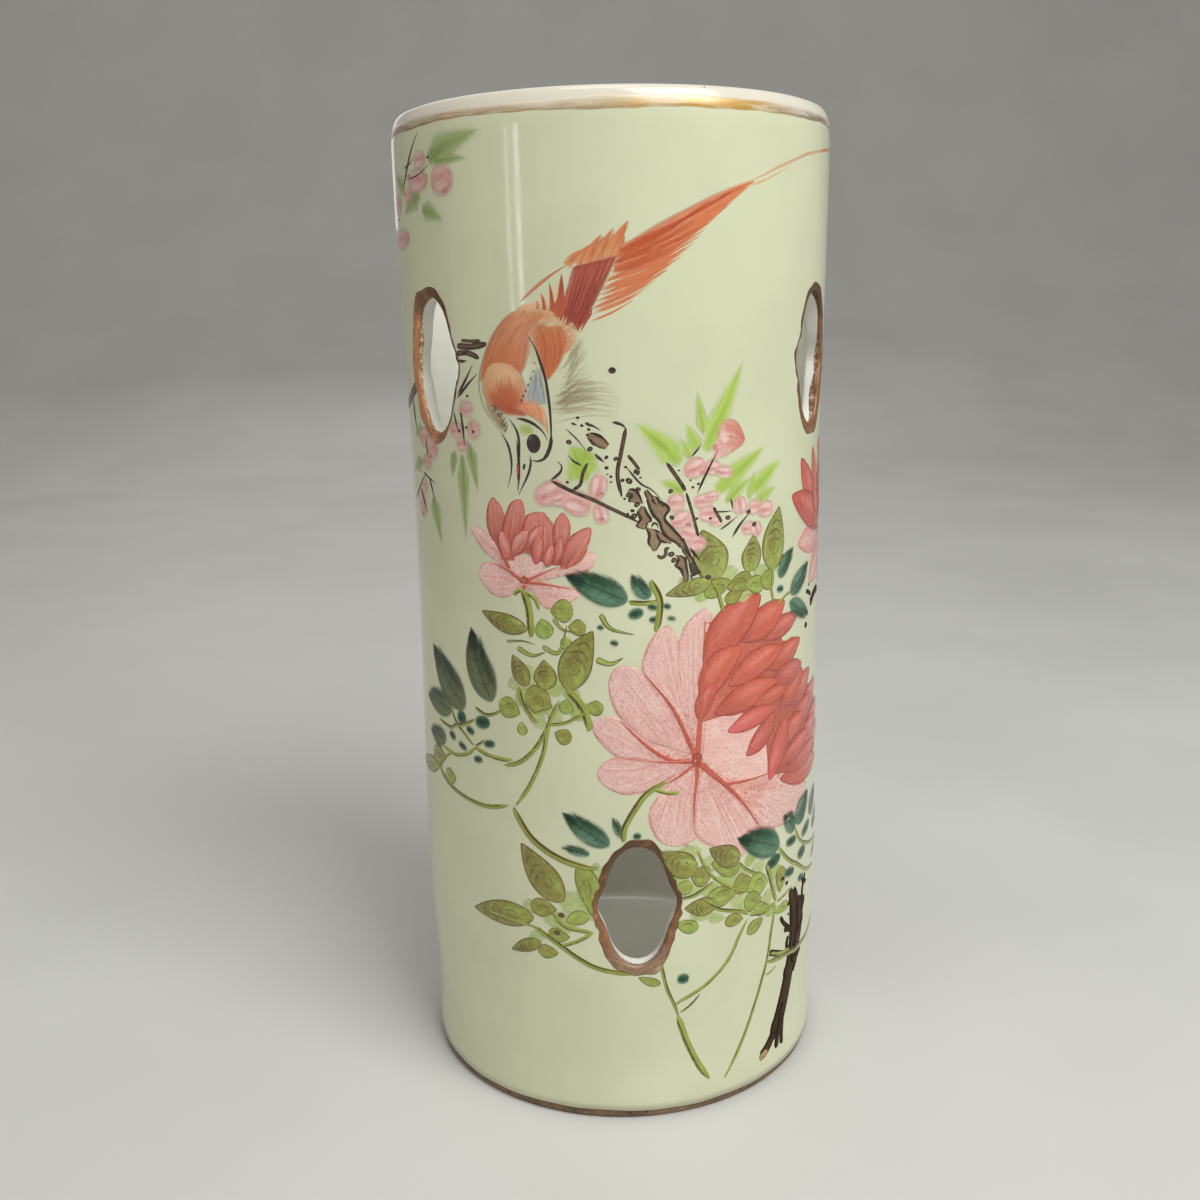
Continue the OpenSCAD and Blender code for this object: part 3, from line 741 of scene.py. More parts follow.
class Painting:
    """Brush strokes on the wall that end as one enamel piece."""

    canvas = None

    def __init__(self, wall, colours, name, seed):
        self.wall = wall
        self.colours = colours
        self.name = name
        self.rng = random.Random(seed)
        self.strokes = []
        if Painting.canvas is None:
            Painting.canvas = Canvas(wall)

    def tone(self, tint, vary=0.0):
        """A colour by its name in the sidebar, by its screen code or as it is, varied a little."""
        if isinstance(tint, str):
            tint = srgb(*bytes.fromhex(tint[1:])) if tint[0] == "#" else getattr(self.colours, tint)
        return np.array(tint, float) * (1 + self.rng.uniform(-vary, vary))

    def between(self, left, right, tint, tip_tint=None, cover=(1.0, 1.0), lift=0.03, dome=0.0, soft=0.0,
                step=1.0, vary=0.06, edge_tint=None, edge_share=0.0, flat=False):
        """One stroke between two edges, each a few places from its root to its tip."""
        rows = count_for(max(run_length(left), run_length(right)), step, ALONG)
        a, b = curve(left, rows + 1), curve(right, rows + 1)
        loop = np.vstack([a, b[::-1]])
        turned = np.roll(loop, -1, 0)
        if np.sum(loop[:, 0] * turned[:, 1] - turned[:, 0] * loop[:, 1]) > 0:
            a, b = b, a
        width = np.linalg.norm(b - a, axis=1)
        widest = max(width.max(), 1e-3)
        v = np.linspace(0, 1, count_for(widest, step, ACROSS) + 1)
        if flat:
            v = np.array([0.0, 1.0])
        elif not soft:
            lip = min(0.2, RAISED_EDGE / widest)
            v = np.concatenate([[0, lip], v[1:-1], [1 - lip, 1]])
        spread = a[:, None] * (1 - v[:, None]) + b[:, None] * v[:, None]
        rim = np.minimum(v, 1 - v) * width[:, None]
        middle = (a + b) / 2
        run = np.concatenate([[0], np.cumsum(np.linalg.norm(np.diff(middle, axis=0), axis=1))])
        t = (run / max(run[-1], 1e-6))[:, None]
        arc, z = self.wall.clear_of_openings(spread[..., 0], spread[..., 1])
        below = self.canvas.below(arc, z)
        shoulder = min(widest / 2, SHOULDER)
        rise = 1 - (1 - np.clip(rim / shoulder, 0, 1)) ** 2
        raised = below[..., 4] + lift + dome * rise
        if not soft and not flat:
            raised = np.where(rim < 1e-6, below[..., 4] - BURIED, raised)
        points = self.wall.place(arc, z, raised)
        root = self.tone(tint, vary)
        tip = root if tip_tint is None else self.tone(tip_tint, vary)
        rgb = root + (tip - root) * t[..., None]
        rgb = np.repeat(rgb, len(v), 1)
        if edge_tint is not None:
            near = np.clip(1 - rim / max(edge_share * widest / 2, 1e-3), 0, 1)[..., None]
            rgb = rgb + (self.tone(edge_tint) - rgb) * near
        over = np.repeat(cover[0] + (cover[1] - cover[0]) * t, len(v), 1)
        if soft:
            ends = np.minimum(run, run[-1] - run)[:, None]
            over = over * smooth(rim / soft) * smooth(ends / soft)
        over = over[..., None]
        through = below[..., 3:4] * (1 - over)
        rgb = (rgb * over + below[..., :3] * through) / np.maximum(over + through, 1e-4)
        paint = np.concatenate([rgb, over + through], -1)
        self.canvas.lay(arc, z, paint, raised)
        away = self.rng.uniform(0, PATTERN_SPAN), self.rng.uniform(0, PATTERN_SPAN)
        along = np.repeat(run[:, None], len(v), 1) + away[0]
        uv = np.stack([along, (v - 0.5) * width[:, None] + away[1]], -1)
        if soft or flat:
            rim = np.full_like(rim, NO_RIM)
        self.strokes.append(Blanks.copy(self.name, points, uv, paint, rim))

    def blade(self, axis, width, tint, shape="leaf", **touch):
        """A stroke along an axis, from its root to its tip."""
        line = curve(axis, AXIS_PLACES)
        side = left_of(line) * (width / 2 * SHAPES[shape](np.linspace(0, 1, AXIS_PLACES)))[:, None]
        self.between(line + side, line - side, tint, **touch)

    def line(self, axis, width, tint="ink", shape="line", lift=0.05, **touch):
        """A thin raised line."""
        touch.setdefault("step", 1.2)
        touch.setdefault("dome", 0 if touch.get("flat") else min(0.12, width * 0.12))
        self.blade(axis, width, tint, shape, lift=lift, **touch)

    def spot(self, middle, width, height, tint, turn=0.0, **touch):
        """An oval dab, turned by some degrees."""
        long = max(width, height) / 2
        heading = math.radians(turn) + (0 if width >= height else math.pi / 2)
        reach = towards(heading) * long
        touch.setdefault("step", max(0.3, min(1.0, long / 3)))
        self.blade((middle - reach, middle, middle + reach), min(width, height), tint, "oval", **touch)

    def fine(self, axis, width, tint, cover=(1, 1), lift=0.02, shape="hair", **touch):
        """A flat thin line."""
        self.line(axis, width, tint, shape, lift, cover=cover, flat=True, **touch)

    def veil(self, axis, width, tint, soft, cover, lift=0.015, **touch):
        """A soft touch that lets the paint below show."""
        self.blade(axis, width, tint, "lens", soft=soft, cover=cover, lift=lift, **touch)

    def patch(self, left, right, tint, tip_tint, soft, cover=(1, 1), lift=0.02):
        """A soft patch between two edges."""
        self.between(left, right, tint, tip_tint, cover, lift, soft=soft)

    def strands(self, roots, tips, count, width, tint, cover, bend=0.0, lift=0.006, shape="hair", spread=0.6):
        """Flat fine strands from places along one line to places along another."""
        roots, tips = curve(roots, FINE_STEPS + 1), curve(tips, FINE_STEPS + 1)
        for k in range(count):
            share = (k + self.rng.uniform(0.1, 0.9)) / count
            tip = tips[round(min(1, max(0, share + self.rng.uniform(-0.04, 0.04))) * FINE_STEPS)]
            slip = [self.rng.uniform(-spread, spread), self.rng.uniform(-spread, spread)]
            root = roots[round(share * FINE_STEPS)] + slip
            middle = (root + tip) / 2 + np.array([-(tip - root)[1], (tip - root)[0]]) * bend
            self.fine([root, middle, tip], width * self.rng.uniform(0.7, 1.3), tint, cover, lift, shape)

    def finish(self, material, slot, *nodes):
        """Joins the strokes and dresses the piece."""
        if not self.strokes:
            raise RuntimeError(f"{self.name} has no strokes")
        piece = join(self.name, self.strokes)
        in_edit_mode(piece, weld)
        return dress(piece, material, slot, *nodes)


# Finishes


class Finish:
    """One node material, built step by step. Sizes of patterns are in millimetres."""

    def __init__(self, name, colours):
        self.colours = colours
        self.material = bpy.data.materials.new(name)
        self.material.use_nodes = True
        self.tree = self.material.node_tree
        self.shader = self.tree.nodes["Principled BSDF"]
        self.place = self.node("TexCoord").outputs["Object"]

    def node(self, kind, inputs=None, **settings):
        """A new node with its settings, and its inputs linked or set."""
        node = self.tree.nodes.new("ShaderNode" + kind)
        for key, value in settings.items():
            setattr(node, key, value)
        for key, value in (inputs or {}).items():
            self.put(node.inputs[key], value)
        return node

    def put(self, socket, value):
        """Links or sets a socket."""
        if isinstance(value, bpy.types.NodeSocket):
            self.tree.links.new(value, socket)
        elif socket.type == "RGBA" and len(value) == 3:
            socket.default_value = (*value, 1)
        else:
            socket.default_value = value

    def mix(self, share, low, high, blend="MIX"):
        return self.node("Mix", {0: share, 6: low, 7: high}, data_type="RGBA", blend_type=blend).outputs[2]

    def math(self, kind, first, second=0.0):
        return self.node("Math", {0: first, 1: second}, operation=kind).outputs[0]

    def span(self, value, low, high, to_low=0.0, to_high=1.0):
        """A value's range carried to another, eased and clamped."""
        inputs = dict(enumerate((value, low, high, to_low, to_high)))
        return self.node("MapRange", inputs, interpolation_type="SMOOTHSTEP").outputs[0]

    def stretch(self, vector, x, y, z=1.0):
        """Coordinates scaled along each axis."""
        return self.node("Mapping", {"Vector": vector, "Scale": (x, y, z)}).outputs[0]

    def noise(self, vector, scale, detail=3.0, rough=0.5, twist=0.0):
        inputs = {"Vector": vector, "Scale": scale, "Detail": detail, "Roughness": rough, "Distortion": twist}
        return self.node("TexNoise", inputs).outputs[0]

    def warp(self, vector, scale, amount):
        """Coordinates pushed about by a noise."""
        noise = self.node("TexNoise", {"Vector": vector, "Scale": scale}).outputs["Color"]
        return self.node("VectorMath", operation="MULTIPLY_ADD",
                         inputs={0: noise, 1: (amount, amount, 0), 2: vector}).outputs[0]

    def cells(self, vector, scale, feature="F1"):
        return self.node("TexVoronoi", {"Vector": vector, "Scale": scale}, feature=feature)

    def bump(self, height, strength, depth_mm, below=None):
        inputs = {"Strength": strength, "Distance": depth_mm * MM, "Height": height}
        if below is not None:
            inputs["Normal"] = below
        return self.node("Bump", inputs).outputs[0]

    def specks(self, base, speck, per_metre, size, share):
        """Scattered small specks on a colour."""
        grid = self.cells(self.place, per_metre)
        near = self.span(grid.outputs["Distance"], size, size * 1.8, 1.0, 0.0)
        chosen = self.math("GREATER_THAN", self.red_of(grid.outputs["Color"]), 1 - share)
        return self.mix(self.math("MULTIPLY", near, chosen), base, speck)

    def red_of(self, rgb):
        return self.node("SeparateColor", {0: rgb}).outputs[0]

    def grey(self, value):
        """A grey of that value."""
        return self.node("CombineColor", {0: value, 1: value, 2: value}).outputs[0]

    def ground(self):
        """The pale green ground's colour, the same in every finish that lets it show."""
        cloud = self.noise(self.place, 28, 3, 0.55)
        low = [c * 0.965 for c in self.colours.ground]
        high = [min(1, c * 1.03) for c in self.colours.ground]
        tone = self.mix(self.span(cloud, 0.35, 0.65), low, high)
        return self.specks(tone, srgb(150, 142, 112), 70, 0.012, 0.1)

    def glassy(self, rough=0.1, waves=0.25):
        """A glaze's gloss: even, with faint waves and pits."""
        uneven = self.noise(self.place, 180, 2)
        self.put(self.shader.inputs["Roughness"], self.span(uneven, 0.3, 0.7, rough, rough + 0.06))
        wave = self.bump(self.noise(self.stretch(self.place, 1, 1, 0.55), 62, 2, 0.45), waves, 0.35)
        pits = self.noise(self.place, 1400, 2)
        return self.bump(pits, 0.06, 0.05, wave)

    def close(self, tone, normal=None):
        """Sets the colour and the surface, and gives the material."""
        self.put(self.shader.inputs["Base Color"], tone)
        if normal is not None:
            self.put(self.shader.inputs["Normal"], normal)
        return self.material


def enamel(colours, name, streak=(0.25, 2.2), depth=0.16, fleck=0.0, fleck_size=1.2, rim=None, rim_width=0.4,
           rough=0.12, grain=0.25, mottle=0.0, relief=0.12, light=srgb(248, 224, 212), shine=0.5):
    """A painted enamel: the stroke's own colour with streaks along it, light flecks and a darker rim, thin
    where its cover lets the ground show."""
    make = Finish(name, colours)
    stroke = make.node("UVMap").outputs[0]
    paint = make.node("Attribute", attribute_name="paint")
    edge = make.node("Attribute", attribute_name="rim").outputs["Fac"]
    own = paint.outputs["Color"]
    streaks = make.noise(make.stretch(stroke, *streak), 1.0, 4, 0.6, 0.4)
    spread = make.span(streaks, 0.28, 0.72, 1 - depth, 1 + depth)
    tone = make.mix(1.0, own, make.grey(spread), "MULTIPLY")
    if mottle:
        blots = make.noise(make.stretch(stroke, 0.55, 0.55), 1.0, 3, 0.6)
        tone = make.mix(make.span(blots, 0.42, 0.75, 0.0, mottle), tone, make.mix(0.5, tone, (0.9, 0.9, 0.5)))
    if fleck:
        bent = make.stretch(stroke, 0.8 / fleck_size, 1.1 / fleck_size)
        crackle = make.cells(make.warp(bent, 0.9, 0.7), 1.0, "DISTANCE_TO_EDGE")
        veins = make.span(crackle.outputs["Distance"], 0.02, 0.2, 1.0, 0.0)
        patchy = make.span(make.noise(make.stretch(stroke, 0.14, 0.26), 1.0, 3), 0.34, 0.6, 0.25, 1.0)
        fine = make.span(make.noise(make.stretch(stroke, 0.9, 1.5), 1.0, 5, 0.75), 0.46, 0.68)
        lights = make.math("MAXIMUM", make.math("MULTIPLY", veins, patchy), make.math("MULTIPLY", fine, 0.85))
        tone = make.mix(make.math("MULTIPLY", lights, fleck), tone, light)
    if rim is not None:
        waver = make.noise(make.stretch(stroke, 0.5, 0.5), 1.0, 2)
        wide = make.math("MULTIPLY", waver, 2 * rim_width)
        near = make.span(make.math("DIVIDE", edge, wide), 0.35, 1.0, 0.85, 0.0)
        tone = make.mix(near, tone, rim)
    normal = make.glassy(rough)
    make.shader.inputs["Specular IOR Level"].default_value = shine
    grains = make.noise(make.stretch(stroke, streak[0] * 2, streak[1] * 1.4), 1.0, 3)
    normal = make.bump(grains, grain, relief, normal)
    return make.close(make.mix(paint.outputs["Alpha"], make.ground(), tone), normal)


SHADED_LIP_WHITE = srgb(222, 216, 198)     # the white glaze on the lip, painted darker as shade against the light on its top
LIP_SHADE_HEIGHTS = (0.272, 0.2835)         # metres above the table between which the white goes over to that darker tone
PETAL_LIGHT = srgb(236, 164, 142)   # the flecks of the red petals


def biscuit_finish(colours):
    """Bare fired clay: warm, gritty and stained, its brown set darker as painted shade at the foot."""
    make = Finish("biscuit_clay", colours)
    stain = make.noise(make.place, 110, 5, 0.6)
    dark = [c * 0.55 for c in colours.biscuit]
    tone = make.mix(make.span(stain, 0.38, 0.66), colours.biscuit, dark)
    grit = make.noise(make.place, 900, 4, 0.7)
    tone = make.mix(make.span(grit, 0.55, 0.75, 0.0, 0.6), tone, srgb(206, 184, 150))
    tone = make.specks(tone, srgb(70, 54, 40), 420, 0.16, 0.3)
    make.put(make.shader.inputs["Roughness"], make.span(grit, 0.3, 0.7, 0.7, 0.95))
    return make.close(tone, make.bump(grit, 0.5, 0.25))


def clay_finish(colours):
    """The white clay body under the glazes."""
    make = Finish("porcelain_clay", colours)
    grain = make.noise(make.place, 500, 4, 0.6)
    tone = make.mix(make.span(grain, 0.3, 0.7), [c * 0.93 for c in colours.clay], colours.clay)
    make.put(make.shader.inputs["Roughness"], make.span(grain, 0.3, 0.7, 0.6, 0.8))
    return make.close(tone, make.bump(grain, 0.2, 0.1))


def ground_finish(colours):
    """The pale green glaze: glassy, clouded, with pinholes and faint waves."""
    make = Finish("pale_green_glaze", colours)
    return make.close(make.ground(), make.glassy(0.07))


def white_finish(colours):
    """The white glaze: slightly grey, with throwing rings, iron specks and a painted shade over the lip."""
    make = Finish("white_glaze", colours)
    cloud = make.noise(make.place, 45, 4, 0.55)
    tone = make.mix(make.span(cloud, 0.35, 0.7), [c * 0.97 for c in colours.white], colours.white)
    height = make.node("SeparateXYZ", {0: make.place}).outputs[2]
    # Painted shade: the white turns darker over the lip.
    tone = make.mix(make.span(height, *LIP_SHADE_HEIGHTS), tone, SHADED_LIP_WHITE)
    tone = make.specks(tone, srgb(64, 56, 48), 48, 0.035, 0.16)
    tone = make.specks(tone, srgb(120, 104, 84), 260, 0.05, 0.05)
    normal = make.glassy(0.12)
    rings = make.node("TexWave", {"Vector": make.place, "Scale": 70, "Distortion": 1.5}, wave_type="BANDS",
                      bands_direction="Z").outputs["Fac"]
    return make.close(tone, make.bump(rings, 0.12, 0.3, normal))


def copper_finish(colours):
    """Worn gilding: brown copper, brushed, rubbed to a lighter metal in places and dark at its edges."""
    make = Finish("worn_copper_gilding", colours)
    stroke = make.node("UVMap").outputs[0]
    across = make.node("Attribute", attribute_name="rim").outputs["Fac"]
    brushed = make.noise(make.stretch(stroke, 0.35, 2.4), 1.0, 4, 0.65, 0.6)
    blots = make.noise(make.place, 170, 4, 0.6)
    dark = [c * 0.5 for c in colours.copper]
    light = srgb(196, 138, 92)
    tone = make.mix(make.span(brushed, 0.3, 0.7), dark, colours.copper)
    tone = make.mix(make.span(blots, 0.5, 0.72, 0.0, 0.75), tone, light)
    bare = make.noise(make.stretch(stroke, 0.5, 0.9), 1.0, 3, 0.6)
    lapped = make.span(across, 3.1, 4.6)
    paler_share = make.math("MULTIPLY", make.span(bare, 0.46, 0.62), make.math("MULTIPLY", lapped, 0.8))
    tone = make.mix(paler_share, tone, srgb(232, 214, 192))
    tone = make.mix(make.span(across, 0.02, 0.35, 0.6, 0.0), tone, srgb(72, 50, 36))
    # The border's own tone, which holds its painted highlight, multiplies the colour.
    tone = make.mix(1.0, tone, make.node("Attribute", attribute_name="paint").outputs["Color"], "MULTIPLY")
    make.put(make.shader.inputs["Metallic"], make.span(blots, 0.3, 0.7, 0.1, 0.35))
    make.put(make.shader.inputs["Roughness"], make.span(brushed, 0.3, 0.7, 0.3, 0.5))
    return make.close(tone, make.bump(brushed, 0.5, 0.12))


def lip_finish(colours):
    """Gold on the lip, thin and worn through to the glaze."""
    make = Finish("worn_lip_gold", colours)
    stroke = make.node("UVMap").outputs[0]
    paint = make.node("Attribute", attribute_name="paint")
    wear = make.noise(make.stretch(stroke, 0.12, 1.1), 1.0, 5, 0.65, 0.5)
    left = make.math("MULTIPLY", paint.outputs["Alpha"], make.span(wear, 0.3, 0.62, 0.35, 1.0))
    # Where the gold is worn through, the lip's white shows in its darker painted-shade tone.
    tone = make.mix(left, SHADED_LIP_WHITE, paint.outputs["Color"])
    make.put(make.shader.inputs["Metallic"], make.span(left, 0.2, 0.9, 0.0, 0.45))
    make.put(make.shader.inputs["Roughness"], make.span(wear, 0.3, 0.7, 0.2, 0.34))
    return make.close(tone, make.bump(wear, 0.25, 0.06))


# The painting. A row lists places as arc and height in turn, in millimetres: the arc runs round the wall
# from the middle of the lower front opening, to the right as seen from outside. Edges and axes run from root
# to tip. Where a row has a width, it comes last.

# Bird: patches by their two edges, from the tail down to the beak
MANTLE = (
    (-27, 232, -31.4, 230.6, -35.2, 227.6, -38.8, 223, -41, 218, -42.2, 213),
    (-19.5, 229.6, -23.5, 228.8, -26, 226, -26.5, 221.5, -27, 217.5, -29.5, 213.8))
BREAST = (
    (-26.4, 227.6, -25.4, 223.5, -24.2, 219.5, -23, 216, -22, 213.2),
    (-17.2, 227.6, -15.4, 224.6, -16.4, 220.5, -18.6, 216.5, -21, 213.7))
RUMP = (
    (-31, 229.5, -26, 228, -20, 226.6, -15.6, 225.4), (-28.5, 232.3, -24, 232.6, -19.5, 231.8, -15.5, 229.2))
CROWN_PATCH = (
    (-35, 218.4, -38.6, 217.3, -41, 213.5, -41.2, 210, -38.6, 206.8, -33.5, 204.4),
    (-34.5, 218.4, -30.8, 217.2, -28.3, 214.7, -27, 211, -27.5, 207.4, -32.5, 204.4))
CROWN_HEART = (
    (-33, 216, -36, 214.5, -37.8, 211.5, -36.4, 208.4, -33, 205),
    (-32.4, 216, -30, 213.5, -28.6, 210.4, -28.2, 207.6, -31.5, 205))
CHEEK = (
    (-24.7, 218.8, -26.3, 214.8, -28, 210.8, -29.3, 207.6),
    (-24.2, 218.8, -22.9, 214.5, -21.9, 210.5, -21.7, 207.2))
LORE = (
    (-30.5, 206.8, -27.6, 204.7, -25.2, 203.4, -23, 201.5, -21.9, 199.4),
    (-28, 208.6, -24.4, 207.9, -22.3, 205.6, -21.7, 202.5, -21.5, 199.6))
THROAT = (
    (-41, 209, -39.8, 205.4, -37.4, 202.4, -35.2, 199.8),
    (-38.6, 207.2, -36.4, 205.4, -34.2, 203.8, -33.6, 200.6))
BACK_LINE = (
    -29, 230.6, -33.2, 228.6, -37, 224.2, -40.2, 219, -42, 214, -41.9, 210, -40.6, 206, -38, 203, -35.6,
    200.2, -34.2, 198.6)
NAPE = (
    -26.7, 225.1, -25, 222.8, -23.4, 218.6, -22, 213.6, -21.2, 207, -21, 200.4, -21.3, 197.2, -22.8, 194,
    -25, 192.9, -27.2, 193.2)
BROW = (-30.8, 203.9, -28.4, 203.6, -25.8, 202.6, -23.4, 200.8, -22, 198.4)
EYE = (-26, 197.5)
BEAK_LINES = (
    (-35.4, 200, -33.6, 197, -32.8, 193.5, -32.9, 190, -34.2, 185.6),
    (-33, 204, -31, 201.2, -30.2, 198, -30.4, 193, -30.4, 189, -31, 185),
    (-30.9, 198.4, -30.6, 194, -30.7, 189.5, -31.2, 185),
    (-27.2, 194.4, -27, 192.4, -27.8, 189.6, -29.4, 186.6, -31, 183.8))
TONGUE = (-31, 192.4, -30.9, 190, -31.2, 187.4)
CHEEK_DOTS = (-24.7, 218, -25.3, 216, -26.1, 214.1, -26.9, 212.5, -27.6, 211, -28.4, 209.7, -28.9, 208.6)
BELLY_HAIRS = (
    ((-20.4, 204, -19.6, 206.5, -18.8, 209.5, -17.4, 213),
     (-3.5, 203.6, -2.8, 206.5, -3.2, 209.6, -6.2, 213.2)),
    ((-20.2, 205.6, -18.6, 209.5, -16.5, 214), (-8, 208, -9, 213, -11.5, 219)),
    ((-17, 214, -16.2, 217, -15.2, 221), (-10.6, 219.6, -11.6, 221.6, -12, 224.6)))
INK_DROP = (-4.7, 216)

# Wing and tail of the bird
WING = (
    (-14.2, 241.6, -15.4, 238, -16.6, 234.4, -17.8, 231.2, -15.8, 229.4),
    (-2.4, 244.3, -5.2, 238.8, -8.2, 233.2, -10.6, 229, -13.2, 225.8))
WING_FRINGE = ((-18.2, 234, -14, 232, -9.6, 231), (-19.4, 229.4, -16, 227, -12.8, 225.2))
SMALL_FEATHERS = (
    (-23.4, 231.2, -23.8, 233.8, 1), (-21.6, 231, -22.5, 235.6, 1.4), (-19.6, 230.6, -20.2, 238.2, 1.6),
    (-18, 229.4, -16.9, 240.2, 2.6), (-16.4, 231, -15.6, 236.5, 1.6))
TOP_FEATHERS = (
    (-15.6, 241.6, -11.6, 245.6, 2.4), (-12.8, 241.8, -9.6, 246.8, 2.6), (-10.6, 242, -6.8, 249.2, 3),
    (-8, 242.4, -3.8, 250.6, 3), (-5.2, 243, -0.2, 252.4, 3.4), (-3.6, 243.6, -1.2, 249, 2.4))
WING_LINE = (-28.4, 233.2, -24, 236.6, -20, 239.4, -15.4, 242)
TAIL = (
    (-2.6, 245.6, 2, 248.8, 8, 252.2, 14, 255, 21, 258.2, 28, 260.8, 34, 262.4),
    (-4, 240.2, 2, 240.6, 7.5, 242.8, 14, 247, 20, 251.4, 27, 256.4, 34, 261.4))
TAIL_STRANDS = (
    ((-2.6, 244, -6, 237.4, -9.4, 230.6), (30, 260, 20, 250.6, 7, 238.4), 24),
    ((-5, 239, -8, 233, -10.4, 227.4), (20, 250, 12, 242.4, -1, 231.6), 12))
STREAMER = (30, 261, 36, 263, 42, 265.4, 50, 268, 57, 270, 66, 271.4, 78, 272.6, 88, 272.8)
STREAMER_LOW = (31, 260.4, 37, 262, 44, 264.8, 48, 266)

# Large peony: pale petals by their two edges, then red petals in rows from the back to the front
PINK_PETALS = (
    ((16.8, 112, 14.5, 120, 12.5, 130, 11.5, 138, 12.5, 145, 15, 149.5, 19, 152.4),
     (17.8, 112, 18.3, 122, 18.8, 132, 19.6, 140, 21, 146, 22.2, 150, 20.6, 152.4)),
    ((16.3, 113, 13, 119, 8.5, 127, 4, 133, 2, 137, 3, 142, 5.5, 146.5, 8.6, 148.8),
     (16.8, 113, 14.8, 122, 13, 130, 12, 138, 12.3, 143, 10.8, 147, 9.4, 148.8)),
    ((16, 111.5, 9, 114.5, 3, 117, -1.5, 121, -5, 125, -6.8, 130, -7, 134, -5.5, 137.3, -3, 138.3),
     (16.3, 112.5, 13, 119, 8.5, 127, 4, 133, 2, 136.3, 0.5, 137.3, -2, 138.3)),
    ((16, 110, 8, 110.8, 0, 111.8, -5, 112.5, -9, 116, -11.4, 119.5, -11.6, 122.5, -9.2, 124),
     (16, 110.8, 9, 112, 4, 114.8, 0, 118.5, -3, 122, -5, 123.7, -7.6, 124.1)),
    ((16, 109, 9, 105.5, 5, 103.2, 0, 102, -4, 101.9, -8, 103.8, -10.2, 106),
     (16, 110, 8, 110.9, 0, 112, -5, 112.6, -8.5, 111, -10.5, 108.8, -10.5, 106.8)),
    ((16.5, 108.2, 10, 104.5, 6.5, 101.5, 4, 98, 3.3, 94.5, 4.5, 90, 7, 86.8, 10.4, 85.6),
     (17.3, 108, 17, 102, 16.3, 96, 16, 91, 16.5, 88, 15.6, 86.5, 12.6, 85.7)),
    ((17.6, 108, 17.2, 102, 16.4, 96, 16.2, 91, 17, 87.5, 19.5, 85, 24, 82.8, 29, 80, 31.5, 78.6),
     (19, 107.5, 23.5, 103, 28, 98.5, 33, 93, 36, 89.5, 37.5, 86, 37, 84, 34.5, 81.3, 32.5, 79)),
    ((19.5, 107.3, 24, 103, 28.5, 98.5, 33.5, 93, 36.5, 89.5, 38, 86, 42, 84.3, 48, 83, 56, 84),
     (20, 107.5, 27, 101.8, 35, 101.4, 43, 100.6, 50, 97.8, 57, 95, 63, 92.5, 64, 89, 59, 85)))
PALE_HEART = (
    (17.6, 112, 18, 121, 24, 122.4, 31, 122.6, 39, 121, 46, 116),
    (17.8, 108, 21, 105.4, 25, 102, 29, 100.6, 36, 100.4, 46, 101))
PEONY_BED = ((18, 107.6, 9, 102.8, 3, 102.6), (18, 113.6, 8, 118.4, -1, 121.6))
CORAL_BED = (
    (17.8, 120.6, 30, 121.4, 39.5, 117, 41, 110, 43, 101, 52, 98.4, 64, 97, 76, 98),
    (19.6, 149, 30, 147, 42, 143.4, 50, 138, 56, 130, 62, 124, 70, 119.5, 78, 112))
CORAL_ROWS = (
    ((38, 141.5, 48, 143.2, 57.4, 144.6, 6.4), (52, 119, 61, 122.5, 68, 126.2, 7.4),
     (58, 114, 68, 117.5, 75.8, 121, 7.4), (62, 107, 72, 110, 81, 113, 7.4),
     (62, 101, 74, 103.5, 83, 105, 6.4), (47, 97.6, 62, 96, 78, 95.6, 7.4)),
    ((30.5, 142, 40, 146, 50, 150.1, 9), (40, 132.5, 50, 134.5, 59.5, 137.2, 7.2),
     (47, 119.6, 55, 123.6, 61.5, 127.8, 7), (52, 112, 61, 115, 69, 118, 7), (56, 104, 66, 107, 75, 110, 7),
     (50, 99, 63, 100.5, 75, 102, 6.4)),
    ((19.4, 137, 28, 146.6, 39, 153.8, 11.5), (43, 127.5, 52, 128.6, 60.8, 129.4, 7),
     (46, 108, 54, 111.5, 62, 114, 7), (47, 102, 57, 105, 67, 107.5, 6.4)),
    ((27, 129.8, 37, 134.5, 48.4, 137.4, 8), (18.6, 126, 23.6, 135, 31.8, 140.4, 9),
     (50.6, 115.6, 46.5, 107, 42.2, 98.6, 7.2)),
    ((17.8, 121, 19.6, 127, 23.4, 131.4, 5), (22.4, 122.4, 34, 126, 46, 127.9, 8),
     (36, 122.4, 43, 123.8, 51, 124.8, 5), (45, 118.6, 39.6, 113, 33.2, 108.2, 6)),
    ((45.4, 120.2, 36, 119, 26.6, 116.6, 5.6),))
PEONY_LINES = (
    (17, 110, 18, 120, 19, 133, 21.6, 149.4, 2), (17, 110, 14.6, 116, 10, 126, 2, 136.6, 1.6),
    (17, 109.8, 10, 111, 4, 114.6, -5, 123.6, 1.6), (17, 109, 17, 105, 16.2, 98, 16, 90.6, 1.4),
    (17, 109.6, 20, 107, 30, 97, 38.4, 85.8, 2), (24, 101.8, 30, 101.3, 36, 101, 43.4, 101, 1.1),
    (17, 109.6, 13, 106.6, 9, 104.6, 6, 103.6, 1), (17, 110, 8, 110.6, 0, 111.8, -5, 112.4, 0.8))
PEONY_HUB = (17, 110.4)
PEONY_WASH = ((24, 105, 31, 98.6, 37, 92.6, 42, 86, 8), (28, 100, 38, 97.4, 52, 95, 8))

